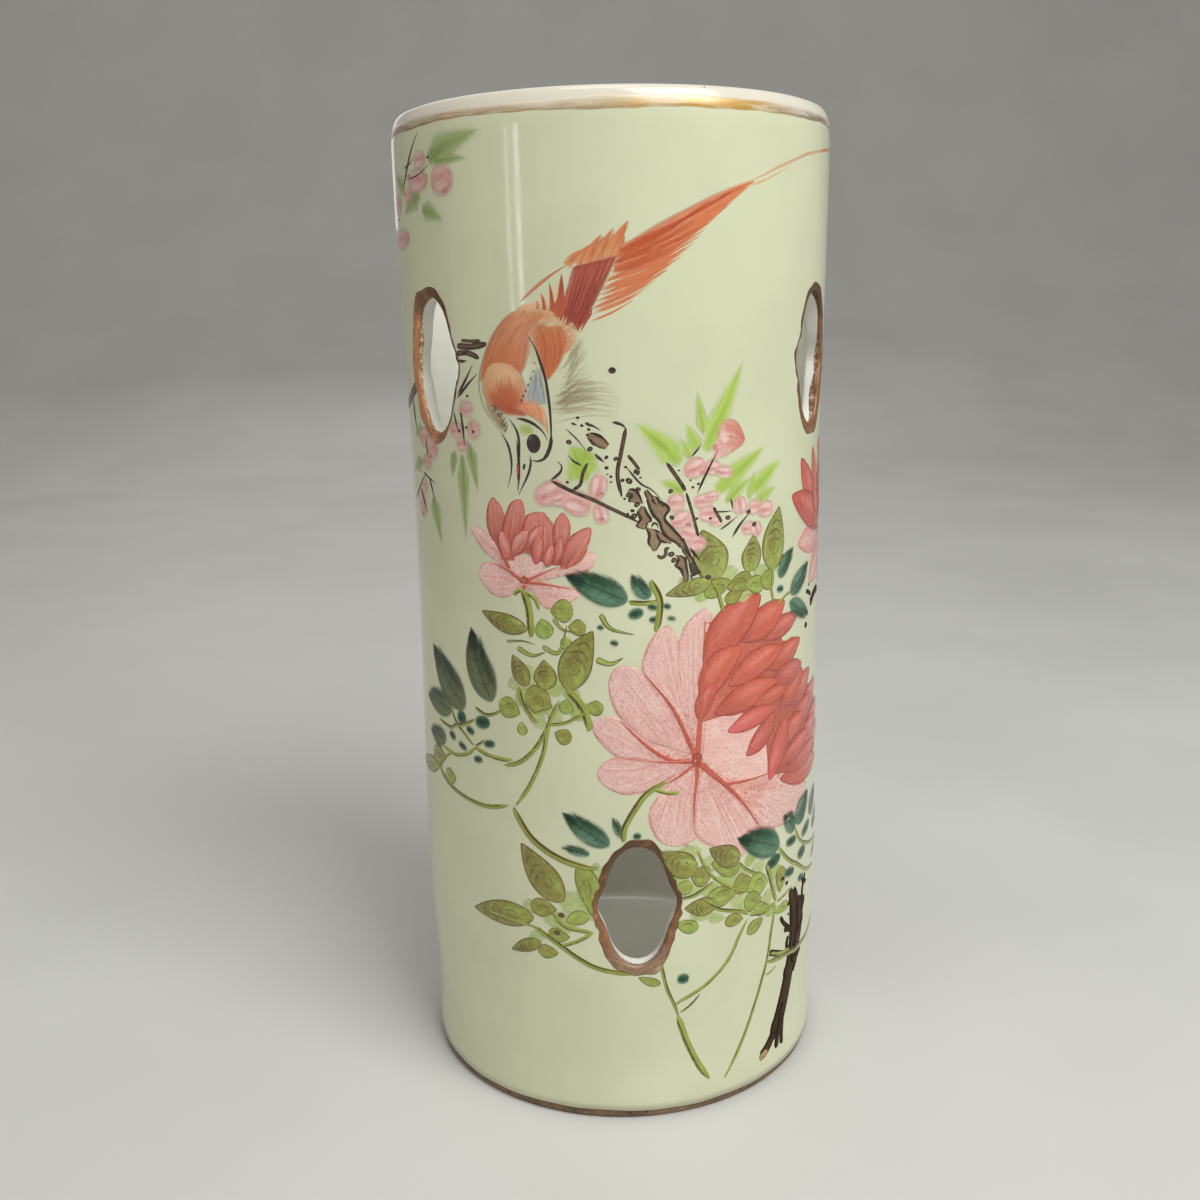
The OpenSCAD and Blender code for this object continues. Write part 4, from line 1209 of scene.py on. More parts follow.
# Small peony
SMALL_HUB = (-30, 161)
SMALL_PINK = (
    ((-33, 163.6, -37, 164.8, -42, 166.8, -46, 170.8, -47.8, 173.4),
     (-33.5, 164.6, -37, 168.8, -41, 172.2, -44.5, 174, -47.6, 174.2)),
    ((-31, 160, -34, 156.6, -37.5, 155.4, -41.5, 156.6, -45, 159.8),
     (-31, 160.8, -35, 163.5, -39.5, 164.9, -43.5, 164.5, -45.5, 161.6)),
    ((-28, 160.2, -21, 162, -15, 163.6, -11.2, 165, -9.7, 167),
     (-28, 160.8, -21, 164.6, -14.5, 167.8, -11.5, 169.2, -9.8, 168.4)),
    ((-29, 159.9, -26.5, 156, -23.5, 153.3, -19, 154.5, -15, 156.8),
     (-29, 160.4, -24, 160, -19, 159.7, -15.5, 159, -14.4, 157.8)))
SMALL_HEART = ((-33, 161.4, -35, 164.5, -35.6, 169), (-26, 161.2, -24, 164, -23, 167.4))
SMALL_BED = (
    (-37, 166, -37.5, 171, -33, 174.5, -27, 176, -20, 172),
    (-33.5, 167, -30, 169.6, -26.6, 167, -22, 165.4, -17, 165.6))
SMALL_RED = (
    ((-38.6, 169.6, -41.2, 173.5, -41.7, 177.5, -40.7, 181.2, -39.4, 182.8),
     (-37.6, 169.6, -35.8, 173.5, -35.5, 177.5, -37.1, 181.2, -38.9, 182.8)),
    ((-35.6, 170.6, -36.6, 174, -35.3, 178, -33.6, 181.5, -31.2, 182.7),
     (-31, 171.4, -29.5, 175, -29.3, 178.6, -29.6, 181.6, -30.4, 182.7)),
    ((-31, 168.6, -30.4, 174, -28.8, 178.4, -25.6, 179.6),
     (-21.4, 166.6, -20.7, 172, -21.3, 176.4, -23.6, 179.5)),
    ((-20.6, 168.6, -21.4, 173, -20.7, 177, -19, 179.5),
     (-18.8, 168.6, -16.8, 173.6, -16.7, 177, -18.2, 179.6)),
    ((-19.4, 164.8, -18.7, 169, -16.6, 173, -13.6, 175.1, -11.5, 175.8),
     (-18, 164.6, -14, 166.9, -12, 170.5, -10.9, 174, -10.9, 175.5)))
SMALL_INNER = (
    (-33, 166, -35.8, 169.6, -36.8, 174, 4), (-29.6, 169.4, -26.8, 172.6, -24.2, 176, 3.8),
    (-33.6, 167, -31.4, 171, -28.4, 174.6, 4.4), (-21.2, 165.6, -19.8, 169.4, -19.4, 173, 2.8),
    (-26.6, 165.2, -25.8, 169.4, -25.2, 173.8, 3.4), (-23.6, 164.6, -22.6, 168, -21.4, 171, 2.8))
SMALL_LINES = (
    (-30, 160.2, -35, 163.3, -40.5, 165, 1.4), (-30, 160.4, -24, 160.2, -16.4, 159.2, 1),
    (-34.4, 163.4, -36.6, 168, -37.8, 172, 1.3), (-30, 160.6, -24, 163.4, -20, 165.2, 1),
    (-30, 160, -30.2, 158.6, -30, 157.8, 1.4))

# Side peony, which goes on round the right flank
SIDE_PINK = (
    (84, 163, 84.6, 156, 84, 149, 11), (83, 163, 74, 157, 66.6, 152.6, 10.4),
    (86, 163, 94, 156, 101, 151, 10.4), (82, 165, 70, 165.4, 57, 165.2, 9.6),
    (86, 165, 96, 165.4, 107, 161, 9.6))
SIDE_HUB = (83, 165)
SIDE_ROWS = (
    ((76, 172, 71, 183, 68, 192, 6.4), (80, 170, 79, 184, 77, 194, 8), (85, 170, 88, 183, 90, 193, 8),
     (88, 168, 96, 179, 101, 188, 8)),
    ((74, 168, 66, 179, 58.2, 189.6, 8.6), (89, 165, 98, 170, 106, 174, 8), (83, 168, 83, 178, 84, 187, 7)),
    ((78, 167, 67, 173.4, 52.8, 179.6, 9.5), (80, 166, 73, 175, 68.6, 182.4, 6),
     (86, 166, 91, 173, 95, 180, 6.4)),
    ((82, 166.4, 75, 169.4, 69, 172.6, 5), (84, 165.6, 86, 171, 87, 177, 5)))
SIDE_LINES = ((82, 165.6, 74, 168, 66, 168.8, 1.3), (80, 166, 72, 172, 67.4, 178, 1.2))

# Raised olive leaves: tip, root, width
OLIVE_LEAVES = (
    (-45, 151, -29.6, 147.4, 5.8), (-34.6, 140, -30, 131.4, 5.6), (-25, 139.4, -25, 130.8, 7),
    (-11, 148, -18.4, 131, 9.4), (-33.6, 85.2, -21, 69, 9.6), (-52.4, 60, -30, 62.8, 8),
    (-38.2, 50.8, -28, 55.6, 4.4), (19, 174, 24.4, 160.4, 11), (36, 171, 33.6, 160.8, 7.4),
    (46.6, 177.6, 43.6, 159.8, 10), (8.4, 157, 22, 159.8, 5), (-92, 95, -69, 99.4, 5.6),
    (6, 84.4, 17, 77, 8), (20.6, 83.4, 31, 77.4, 7), (13, 66.4, 23, 66, 6))
# Small leaves and buds: middle, width, height
LEAF_DABS = (
    (-24.5, 148, 4.2, 4.4), (-19.5, 153, 5, 5), (-15.4, 149, 3.8, 3.6), (-18.4, 144, 2.6, 2.8),
    (-36, 124.5, 5.6, 4.8), (-27, 127, 6.4, 6.2), (-18.8, 126.6, 3.2, 3.4), (-11, 126.6, 3.8, 3.4),
    (-20, 118, 4, 3.6), (-32, 119, 2.6, 3), (-14.4, 73, 5, 12.6), (-27, 66, 6.2, 4.4), (-17, 64, 5.4, 3.4),
    (-22.4, 59, 5, 3.4), (-26, 53, 5, 3.4), (11, 79.6, 6, 4), (26, 76.6, 8, 4.4), (18, 75.6, 5, 5),
    (13, 72, 4.4, 3.4), (25, 68.4, 8, 5), (32, 70.6, 5, 5), (38, 68, 6.4, 6), (36, 63.4, 5.4, 5),
    (29, 59, 5, 3.2), (40, 60, 6, 3.4), (37, 55, 5.4, 3.4), (47.6, 66, 4, 6.6), (14, 61, 5.6, 3.4),
    (3, 45, 5.4, 2.2), (-69.5, 102, 8, 4.8), (-62, 98.4, 5, 4), (24, 157.6, 7, 4), (31, 158.4, 7, 4.4),
    (36.4, 156.6, 6, 4), (41.4, 158, 5, 4.6), (29, 155, 5, 3), (49.4, 56, 6, 2.6))
LEAF_FILL = (
    (8, 82, 5, 4), (14.6, 83, 5, 3.4), (21.6, 79, 4.4, 3.4), (27.6, 80, 5, 3), (21.4, 71, 4, 3),
    (30.4, 74, 4.4, 3), (12.4, 75.4, 4, 3), (19, 63.6, 5.4, 2.6), (31, 66, 5, 3.4), (42.6, 63, 4, 3),
    (45.4, 70, 3.4, 4.4), (33, 62, 4, 3), (8.6, 72, 3, 3), (-20.6, 62.4, 5, 4), (-18, 69, 5, 4.6),
    (-24, 63, 5, 3.4), (-13.6, 67, 3, 4), (-30.4, 66, 4, 3), (-31, 128, 4, 4), (-22, 132.6, 4.6, 4),
    (-14.6, 125.6, 4.4, 3.4), (-27, 122, 4.4, 3), (-29, 134.6, 3.4, 4), (27.6, 161.4, 4, 3),
    (39, 160, 4.4, 3.4), (20, 157.4, 5, 3), (33.6, 155.4, 5, 2.6), (35.4, 77, 4, 2.6), (38, 73, 4, 3),
    (17, 71.6, 4, 3), (26.6, 72, 5, 2.6), (23.4, 61.4, 4, 2), (44, 57.6, 4, 2.4), (15.4, 79, 3, 3),
    (-11.4, 78.6, 2.4, 4), (-33.6, 62, 4, 2.4), (-29, 57, 4, 2.4), (-22, 124, 4, 3), (-17, 130, 3, 4),
    (45, 161, 3, 3), (15, 159.4, 4, 2.4), (-33.4, 132, 3, 4))
LEAF_SPOTS = (-21.6, 65, -23, 59.4)
TENDRILS = (
    (-10.4, 140, -6.4, 138.8, -2.8, 140.6, 2.2), (-9, 152.6, -6.4, 148.6, 0.4, 146.6, 1.8),
    (-33, 142, -28.4, 140.2, -24, 141.6, 1.8), (-36.6, 143.4, -31, 144, -27, 143.2, 0.9),
    (-22, 151, -19.4, 148, -15.4, 147.4, 1.4), (-25.4, 143, -20.6, 141.6, -18, 149.6, 1.6))

# Soft dark leaves: tip, root, width
TEAL_LEAVES = (
    (-49.4, 146, -42, 125, 11.4), (-71.4, 136.8, -53, 121, 12.6), (-78.6, 119, -59.6, 119, 9),
    (-76.6, 109, -63.6, 110, 7.4), (-18.8, 163.2, -1.4, 155.8, 9), (-0.6, 163.4, 4.6, 156.4, 5.4),
    (-21, 96.2, -7.4, 86.6, 7.6), (-21.4, 85.6, -13, 84, 3.8), (-6.8, 95.4, -3.6, 88.6, 3.4),
    (29.4, 84.6, 47.6, 76.6, 10.4), (48.6, 86, 56, 78.6, 7), (67, 88, 56.6, 80.4, 9.4),
    (54.6, 165, 46.6, 157, 6), (66, 159, 52.4, 151.8, 7.4), (67, 142.6, 52, 149.4, 6.4), (78, 86, 68, 79, 8),
    (86, 76, 72, 73.6, 6))
TEAL_DABS = (
    (-46, 118.5, 6, 4.2), (-55, 118, 4.6, 4.2), (-51.2, 115, 4, 2.8), (-43.6, 112.6, 4.8, 2.8),
    (-60, 111.4, 4, 3), (-55, 109.4, 4.6, 2.6), (-48.2, 107, 4.2, 2.6), (0.5, 152.4, 4.6, 3.4),
    (5, 154, 3.4, 2.4), (5.4, 150.6, 3.2, 2.4), (9, 154, 2.8, 2.2), (10.2, 150.6, 3, 1.9),
    (-9, 148.8, 2.4, 2), (-5.4, 144.5, 2.8, 2.2), (12.8, 44.4, 4, 3.6), (44.4, 72.8, 7.4, 4.2),
    (54, 76, 6.4, 3.6), (61.4, 69.6, 6.6, 4.2), (53, 66.4, 6.2, 3.6), (65, 76, 8, 4), (61, 61.4, 5, 3),
    (47.4, 154, 3.8, 2.6), (76, 65, 8, 3.4), (0, 89.4, 2.8, 2.6))

# Thin bamboo-like leaves: root, tip, width
WASH_LEAVES = (
    (19.8, 194, 31.8, 218, 5), (19.4, 199, 17.4, 210.6, 2.6), (13.4, 191.6, 0.6, 203, 5.4),
    (18, 194.6, 14, 202.6, 3), (16, 192.6, 12.6, 198.6, 2.2), (22.8, 183.6, 40.6, 195, 5.4),
    (26, 180.6, 36, 187, 3), (35, 182.6, 47.4, 190.8, 4.4), (36, 178.8, 45, 183.4, 3.2),
    (34, 180.6, 36.2, 188.6, 2.2), (14, 184, 7, 187.6, 3), (-10, 196, -17.4, 187, 7),
    (-12, 187.4, -16, 197.6, 4.4), (-50, 194, -50, 169, 3.4), (-53, 194.6, -54.8, 187, 2.6),
    (-47, 197, -44.4, 183.4, 3), (-66, 181, -61.8, 167, 4.6), (-70, 199, -79, 196.6, 3.4),
    (-72, 190, -84, 186, 3.6), (-58, 269.6, -37.4, 275.4, 6.4), (-55, 268.6, -42, 268.8, 2.4),
    (-62, 262, -74, 257, 5), (-72, 263, -82, 268, 4), (-62, 258, -52, 254, 4))

# Small blossoms: middle, width, height, turn in degrees
BLOSSOMS = (
    (-22, 184.6, 9, 6.4, 25), (-18.4, 182.8, 6, 3.6, 10), (-14.6, 182, 7.6, 7, -20),
    (-9, 186.2, 4.8, 7, -15), (-8.4, 179.4, 4.2, 5.8, 10), (17, 190.4, 6.4, 5.6, 20), (22, 190.2, 5, 4.4, 0),
    (25.6, 189, 5.4, 3.6, -10), (11.6, 181.4, 5, 5, 0), (13, 177, 6, 5, 20), (15, 173, 5.4, 5, -20),
    (17.6, 170.4, 5, 4.6, 0), (19.4, 181.4, 5.6, 4.4, 0), (22, 182.6, 4.4, 3, 0), (20.8, 178.2, 5, 4.4, 0),
    (23, 176, 4.6, 3.4, 0), (31, 179.4, 4.8, 5, 10), (40.4, 177.4, 6.4, 5, 0), (36, 178.6, 4.4, 4.4, 0),
    (34, 173, 5, 4, 0), (37, 172.4, 4, 4.6, 20), (-47.4, 206, 5.4, 4.8, 0), (-45, 200.6, 5, 5.6, 20),
    (-52, 200.2, 5.4, 5, 0), (-49.4, 196.4, 5, 4.4, 0), (-70, 197, 7, 6, 0), (-65, 194, 7, 6, 10),
    (-69, 190, 6, 5, 0), (-63, 198.6, 5, 4, 0), (-75, 178, 6, 9, 10), (-72, 183, 5, 5, 0),
    (-63.4, 265, 10, 6.4, 0), (-52, 264.2, 8, 8, 0), (-61.6, 270, 6, 5, 0), (-77, 251, 11, 6, 0),
    (-80, 260.4, 7, 6, 0), (-70, 262, 6, 4, 0))
BUD = (
    (21.6, 192.6, 23, 197, 24.2, 200.6, 26.4, 202.4, 29.4, 201.8, 31.4, 199.2, 32.4, 197),
    (22.4, 192, 24.6, 192.4, 27, 193, 29.4, 194.2, 31, 195, 32, 196, 32.5, 196.8))
BLOSSOM_HEARTS = (-50.6, 261.4, -75, 174.4, -66, 192, 19, 189, 15, 175.6, -8.4, 184.6, -8.2, 178)

# Dark stamens and twigs of the blossoms: axis and width
BLOSSOM_TWIGS = (
    (-73, 264, -67, 272, -62, 277, 0.9), (-70, 266, -63, 266.4, -57, 268.6, 0.5),
    (-72, 269, -68, 269.6, -65, 271, 0.6), (-50.4, 209.4, -46.6, 214, -44, 217.6, 0.9),
    (-50.6, 208.6, -46, 212.6, -42.6, 215.2, 0.9), (-52.4, 205, -51.6, 202, -50.6, 199.4, 0.7),
    (-49.6, 205, -49, 201, -48.6, 196.2, 0.9), (-50, 204.6, -49.4, 204.8, -49, 203.6, 0.6),
    (-83, 178, -75, 183.4, -70, 187, 0.9), (-75, 182, -73, 178.6, -70.8, 175.4, 1),
    (-68, 186, -66.4, 183, -65, 180, 0.9), (-68.6, 197, -68.2, 194, -68, 191, 0.7),
    (-78, 207.4, -77.4, 203, -76, 198.4, 1.2), (-72.6, 187, -67, 185.4, -63.6, 184.4, 0.7))
TWIG_DOTS = (-47.6, 201, -46.6, 209.4, -50.4, 200, -80, 256.4, -69, 266.8, -57.4, 270.4, -45, 200)

# Old branch under the bird: brown patches by their two edges, then the axis and width of its strokes
BARK_PATCHES = (
    ((3, 185, 4.4, 181, 5.6, 178.6, 7.2, 176.6, 7.8, 174.4, 9.4, 172.4, 11.6, 171, 13, 169.4, 14.6, 166.6,
     16, 163),
     (4, 185.4, 5.4, 183.6, 7, 182.4, 9.8, 180.2, 8.4, 177.8, 10.2, 175.4, 12.4, 173, 14.2, 170.6, 16, 167,
     18, 163.4)),
    ((-1.5, 184.6, 0, 184, -1, 182.6, 0.6, 182), (-0.8, 185.8, 1, 185.2, 2.2, 183.2, 2.8, 181.8)),
    ((2.2, 181.2, 1.4, 179.4, 2.2, 177.8, 0.9, 176, 2.6, 175),
     (3.2, 181, 3.8, 179.2, 5, 177.3, 3.8, 176.6, 3.8, 175)),
    ((3.4, 175.6, 4.4, 173.4, 4.1, 171.4, 5.3, 169), (5.4, 175, 7.4, 173.6, 7.4, 171.4, 6.2, 169.2)),
    ((6.2, 174, 7.4, 171.8, 10.2, 170.7), (7.6, 174, 9, 172.8, 10.4, 171.6)),
    ((11.2, 167.7, 12.4, 166.4, 11.4, 164.8, 13.3, 163.6, 13.5, 160.4),
     (12.4, 167.6, 14, 166.8, 14.6, 164, 15.1, 161.6, 14.5, 160.2)),
    ((5.2, 183.4, 5.3, 182.6, 6.2, 181.2), (6.2, 183.6, 7, 182.4, 7.2, 181.4)),
    ((-11.8, 200, -9.8, 197.4, -7, 196), (-10.6, 200.4, -8, 199.4, -5.8, 197.4)))
BARK_FOOT = ((15, 165.2, 15.4, 163.2, 16.2, 161.4), (16.8, 165.6, 17.6, 163.8, 18.9, 162.6))
BRANCH_STROKES = (
    (-5, 203, -2.6, 202.4, -1.3, 201, 0.9), (-1.4, 201.6, -2.8, 195, -3.8, 189.4, -2.7, 183.4, 1.2),
    (-17, 201.4, -14.4, 199, -12, 196, 0.45), (-9.6, 195, -8.4, 193.8, -7.1, 192.7, 0.9),
    (-10.6, 202.6, -9.6, 202, -7.8, 200.8, 0.5), (-12, 202.9, -10.6, 202.3, -9.8, 201.8, 0.9),
    (-15.6, 202.9, -14.8, 202.6, -14, 202.3, 0.7), (-1.1, 194.6, 0.6, 192.4, 2.1, 190.4, 1),
    (0.5, 190.6, 1.3, 190, 2.1, 189.6, 1.4), (-1.6, 191.6, 2, 187.2, 5, 185.4, 8, 182.4, 0.6),
    (6.4, 168, 7.6, 167.2, 8.8, 168, 8.8, 169.4, 10, 169.8, 1),
    (5, 175.4, 5.6, 176.6, 6.6, 176, 6.6, 174.9, 0.7),
    (4.2, 180.6, 5.4, 178.4, 7, 177, 7.6, 174.8, 9, 172.6, 11.4, 171.2, 0.5),
    (13.6, 170.4, 14.6, 168.4, 16.2, 166.2, 17, 164.4, 0.6), (15.4, 169.4, 17, 167.4, 18.6, 165.4, 0.8),
    (15.6, 162.4, 16, 161.2, 16.8, 160.6, 0.6), (11.4, 164.8, 12.6, 164, 13.4, 162, 0.7),
    (-21.6, 188, -16, 185.3, -10, 182.9, -5.4, 180.6, -1, 178.4, 2, 176.6, 1.1),
    (-15.6, 185.6, -13.6, 187, -12.8, 190, -11.4, 192.8, 1), (-13, 192, -15, 193, -16.6, 194.6, 0.7),
    (-21.6, 188, -19, 190, -18.4, 191.8, -19.6, 193, 0.8), (18, 172, 16.4, 178, 14.4, 184.4, 1),
    (14.4, 184.4, 12.8, 187, 9, 192.4, 1.2), (17.6, 183.6, 20.4, 189, 23.8, 195, 0.8),
    (16, 193.4, 17.2, 194.6, 18.8, 196.6, 0.6), (22.4, 179.8, 23.8, 177.4, 25.2, 175.2, 1),
    (22.6, 178.4, 26, 178.2, 28.6, 178.2, 0.5), (27.8, 181.6, 28.2, 180.4, 28.6, 178.4, 0.7),
    (24.4, 173.4, 27.4, 175, 30.2, 176.6, 0.7), (28.4, 171, 31.4, 174.6, 34.8, 177.4, 0.9),
    (33.2, 177, 34, 177.6, 34.8, 177.6, 1))
BRANCH_DOTS = (
    (-13.8, 204.2), (-12.8, 202.2), (-11, 201.2), (-11.4, 199.8), (-16.3, 198, 1.3), (-10.8, 196.2, 1.3),
    (-6.6, 194, 1), (-4.2, 193.6, 1.1), (-6.6, 191.3, 1), (-5.5, 189), (-6.4, 189.6, 0.5),
    (-5.5, 187.6, 0.6), (-2.5, 188, 1), (-0.8, 187.8, 1.6), (1.6, 185.6, 1.2), (-1, 184, 1.2), (0, 180, 1),
    (-1.2, 179.2, 0.7), (0.4, 178.6, 1.5), (1.2, 181.6, 1.4), (-2, 183.2, 0.7), (10.3, 168, 1.5),
    (11, 166.4, 1.4), (13.6, 171.6, 0.9), (27, 176.5, 1.4), (36, 173.8, 1.4), (21.5, 176.8), (17.5, 177),
    (10.5, 177.8, 1.2), (10.2, 184.7, 1.2), (12.5, 190, 0.6), (8, 181.2), (15.7, 187.3, 0.6), (16.4, 185.4),
    (20.8, 161, 1.4), (-17, 187.6), (18, 186.2), (2.2, 188.6, 0.6), (-1.6, 191.4, 0.8))
LEFT_BRANCH = (
    (-94, 204.6, -85, 206, -78, 209, -70.6, 212.6, 3.2), (-49.6, 222.4, -44, 222.2, -38.6, 223, 1.8),
    (-50, 220.4, -45.6, 220.6, -41.4, 219.2, 1.6), (-48, 223.8, -44, 223.6, -40.6, 223.8, 1),
    (-49.4, 218.6, -47.4, 218.4, -46, 218.6, 0.9))

# Dark trunk on the lower right
TRUNK_STROKES = (
    (43.4, 43.8, 48, 41.6, 54.4, 38.6, 2.2),
    (46, 12.6, 50, 17.4, 53.4, 24.6, 56, 33, 57.6, 41, 57.4, 50, 56.6, 60.4, 6.6),
    (57.6, 34, 60.8, 42, 61.4, 49, 59.6, 56, 5.6), (41, 9.6, 44, 11.4, 48, 15, 3.4),
    (48.6, 9, 49.6, 13, 52, 20, 2.4), (51.8, 9, 51.8, 12, 53, 19, 2.2),
    (48.4, 53.6, 50.6, 50.6, 54.4, 47.4, 1.6), (50.8, 48.2, 52.6, 48, 55, 46.8, 2.2),
    (54, 60.6, 55, 55, 55.6, 48, 3), (57, 35, 61, 35.6, 64, 37, 3.4), (63, 52, 62.6, 56.4, 65, 61.6, 1.8),
    (62, 60.8, 63.6, 58.6, 66.4, 58.4, 1.4), (54.6, 30.6, 52.9, 32.4, 53.8, 35, 1.8),
    (59.4, 44.6, 62.8, 45.6, 63.6, 48.4, 2), (52.8, 22.8, 51, 20.8, 50, 18.6, 1.6),
    (58.4, 30.6, 60.4, 33, 61.4, 36, 2.2), (54.2, 40, 53, 42.4, 53.6, 45.4, 1.8),
    (62, 50, 64.2, 51.4, 64.4, 54.4, 1.6), (68, 145, 73, 147.6, 80, 147.6, 90, 145.6, 2.6),
    (64, 150, 66.6, 149.4, 69, 148, 1.4))
TRUNK_DOTS = (
    (49, 65.8, 1.6), (51.6, 63.4, 1.6), (52.6, 56.2, 1.6), (53, 52.6, 1.1), (64, 140, 2.2),
    (66.8, 151.6, 1.2), (68.8, 146.6, 1.4))
TRUNK_TIP = (40.4, 9, 42.6, 10, 44, 10.8)

# Vine stems: axis and width, drawn as a light green stroke with a dark line along it
STEMS = (
    (-20.6, 128.4, -24, 121, -26, 112, -30, 103, -35, 95.6, 1.1),
    (-36, 95.4, -30, 87, -22, 82.2, -14, 80, -10.4, 80, 1.7),
    (-37, 95.6, -45, 93.6, -55, 94, -64, 96, -68.4, 100, -60.6, 106.2, 1.2),
    (-24, 120.6, -28, 114, -33, 109.2, -38.6, 107.2, 1.2), (-66, 106.4, -58, 106, -52, 108, -49, 110.6, 1),
    (-49.4, 110.4, -44, 109.2, -38, 109, -35.4, 109.6, 1.1),
    (-68, 114.4, -61, 113.5, -57, 115, -49.6, 110.6, 0.9), (-49.4, 110.6, -47, 112, -45.4, 113.4, 0.6),
    (-60, 120, -58.6, 117, -56, 115.4, -49, 118.6, 0.9), (-49, 122.4, -44, 121, -38.6, 123.2, 0.9),
    (-18.6, 131.6, -14.6, 127, -13, 123, -12.4, 119.6, 1.9), (-13.6, 125.2, -19, 122, -25, 121, 0.9),
    (-33, 131, -31.6, 126, -27.4, 120.8, 1.2), (4.4, 161.4, 7, 156, 6.6, 150, 5.4, 147, 1.6),
    (-1.4, 155.6, 2.6, 155.2, 6.4, 155.6, 1.2), (-3.6, 87.6, -3.4, 92, 1, 99.6, 4, 102.6, 8.6, 105, 1.5),
    (5, 102.8, 8.6, 101.6, 12, 101.4, 1), (-30.6, 158.4, -29, 153, -28.4, 145, 1.9),
    (-30.4, 158.2, -32.4, 157.8, -33.4, 156.4, 1), (-30, 158, -27.2, 156, -25.8, 153, 0.9),
    (-30.6, 60, -25.4, 57.4, -14, 50.2, -6, 48, 0, 47.4, 1.3), (-22, 55.4, -17, 57.4, -12.4, 60.6, 1),
    (-24.4, 66, -20.6, 61.6, -12.6, 60.4, 1.1), (6.2, 50.6, 8, 42, 10.4, 36, 11.6, 32, 0.9),
    (11.4, 32.6, 14, 24, 18, 15, 21.6, 9.4, 1.7), (10.6, 36.6, 20, 41, 27, 47, 31, 54, 34, 58.6, 1),
    (12, 33.4, 15.4, 35.4, 18.4, 38.6, 0.5), (45.6, 59, 44, 50, 42.6, 41, 38, 28, 33, 17.6, 26.4, 8, 1.1),
    (43, 40.6, 55, 39, 66, 37.6, 82, 38.4, 1.6), (44, 43.4, 49.6, 41, 55, 40.4, 1),
    (42.4, 36.6, 45, 36.8, 47.6, 37.8, 0.6), (17, 83.6, 20, 77, 23, 73.6, 29, 69, 35.4, 66.4, 0.9),
    (11, 69.6, 16, 70, 22.4, 73.2, 0.9), (18, 68.2, 24, 64, 31, 61.6, 34.4, 59.4, 1),
    (41.4, 73, 44, 65.4, 46, 59.4, 1.5), (34.6, 59.4, 40, 58.6, 46, 59.4, 1.2),
    (46, 59.4, 50, 60, 54, 61, 0.7), (46.4, 77, 52, 71, 58, 67, 66, 62, 75, 60, 1.2),
    (56, 79.6, 60, 74, 68, 70, 82, 67, 1.1), (30, 77, 34, 73.4, 38, 71, 0.9),
    (42.6, 160, 43, 155, 44.4, 150.4, 0.9), (22, 160, 24, 156, 25.6, 151, 1.2),
    (46, 149.6, 50, 151.6, 53.4, 152.4, 0.7), (-46, 61, -36, 60.4, -27.6, 59.8, 0.6))


def paint_bird_body(art):
    """Mantle, breast and rump in soft orange, and the fine grey hairs of the belly."""
    art.patch((-20.8, 203.4, -17, 205, -12, 206.4, -6, 207),
              (-18.6, 210.4, -15, 211.6, -11, 211.6, -6, 210.4), "#b0a684", None, 3, (0.6, 0.1))
    for roots, tips in BELLY_HAIRS:
        art.strands(roots, tips, 44, 0.24, "#a09472", (0.42, 0.05), 0.06, lift=0.008, spread=1.8)
    art.patch(*RUMP, "#d69264", "#d8aa7c", 1.6, (0.95, 0.6))
    art.patch(*MANTLE, "#d0865a", "orange", 0.6, (0.95, 1))
    art.patch((-30, 231, -35, 226, -39.4, 219, -41, 213), (-27, 231.6, -31, 226, -35, 219, -37, 213),
              "#d8986c", "#c46842", 1.4, (0.7, 0.6), 0.015)
    art.patch((-29, 226, -31, 221, -31, 217), (-25.6, 224, -26.6, 220, -29, 216.6), "#d4845a", "orange",
              1.0, (0.9, 0.8), 0.015)
    art.patch(*BREAST, "#d08054", "orange", 0.8, (0.95, 1))
    art.patch((-26.6, 224.4, -26.4, 221, -26, 217.6), (-25.4, 224.4, -24.8, 221, -24, 217.6), "#e6c8a0",
              None, 0.5, (0.8, 0.7), 0.015)
    for tint, cover in (("orange_pale", (0.25, 0.15)), ("#b85c38", (0.12, 0.28))):
        art.strands((-27, 232, -19.5, 229.6), (-42.2, 213, -33, 215, -27, 217.5), 26, 0.5, tint, cover, -0.12,
                    spread=1.4)
    art.strands((-26.4, 227.6, -17.2, 227.6), (-23, 216, -18.6, 216.5), 22, 0.45, "#be603c", (0.15, 0.35),
                0.1, spread=1.0)
    art.strands((-17.6, 219, -16.2, 223, -18, 228), (-14.8, 221.4, -12.4, 226.4, -14, 230.6), 26, 0.5,
                "#da9668", (0.8, 0.15), 0.05)
    art.strands((-30, 230, -24, 230, -19, 228.6), (-28, 232.6, -22.6, 233.4, -17, 231.4), 22, 0.5,
                "#dea678", (0.8, 0.2), 0.05)


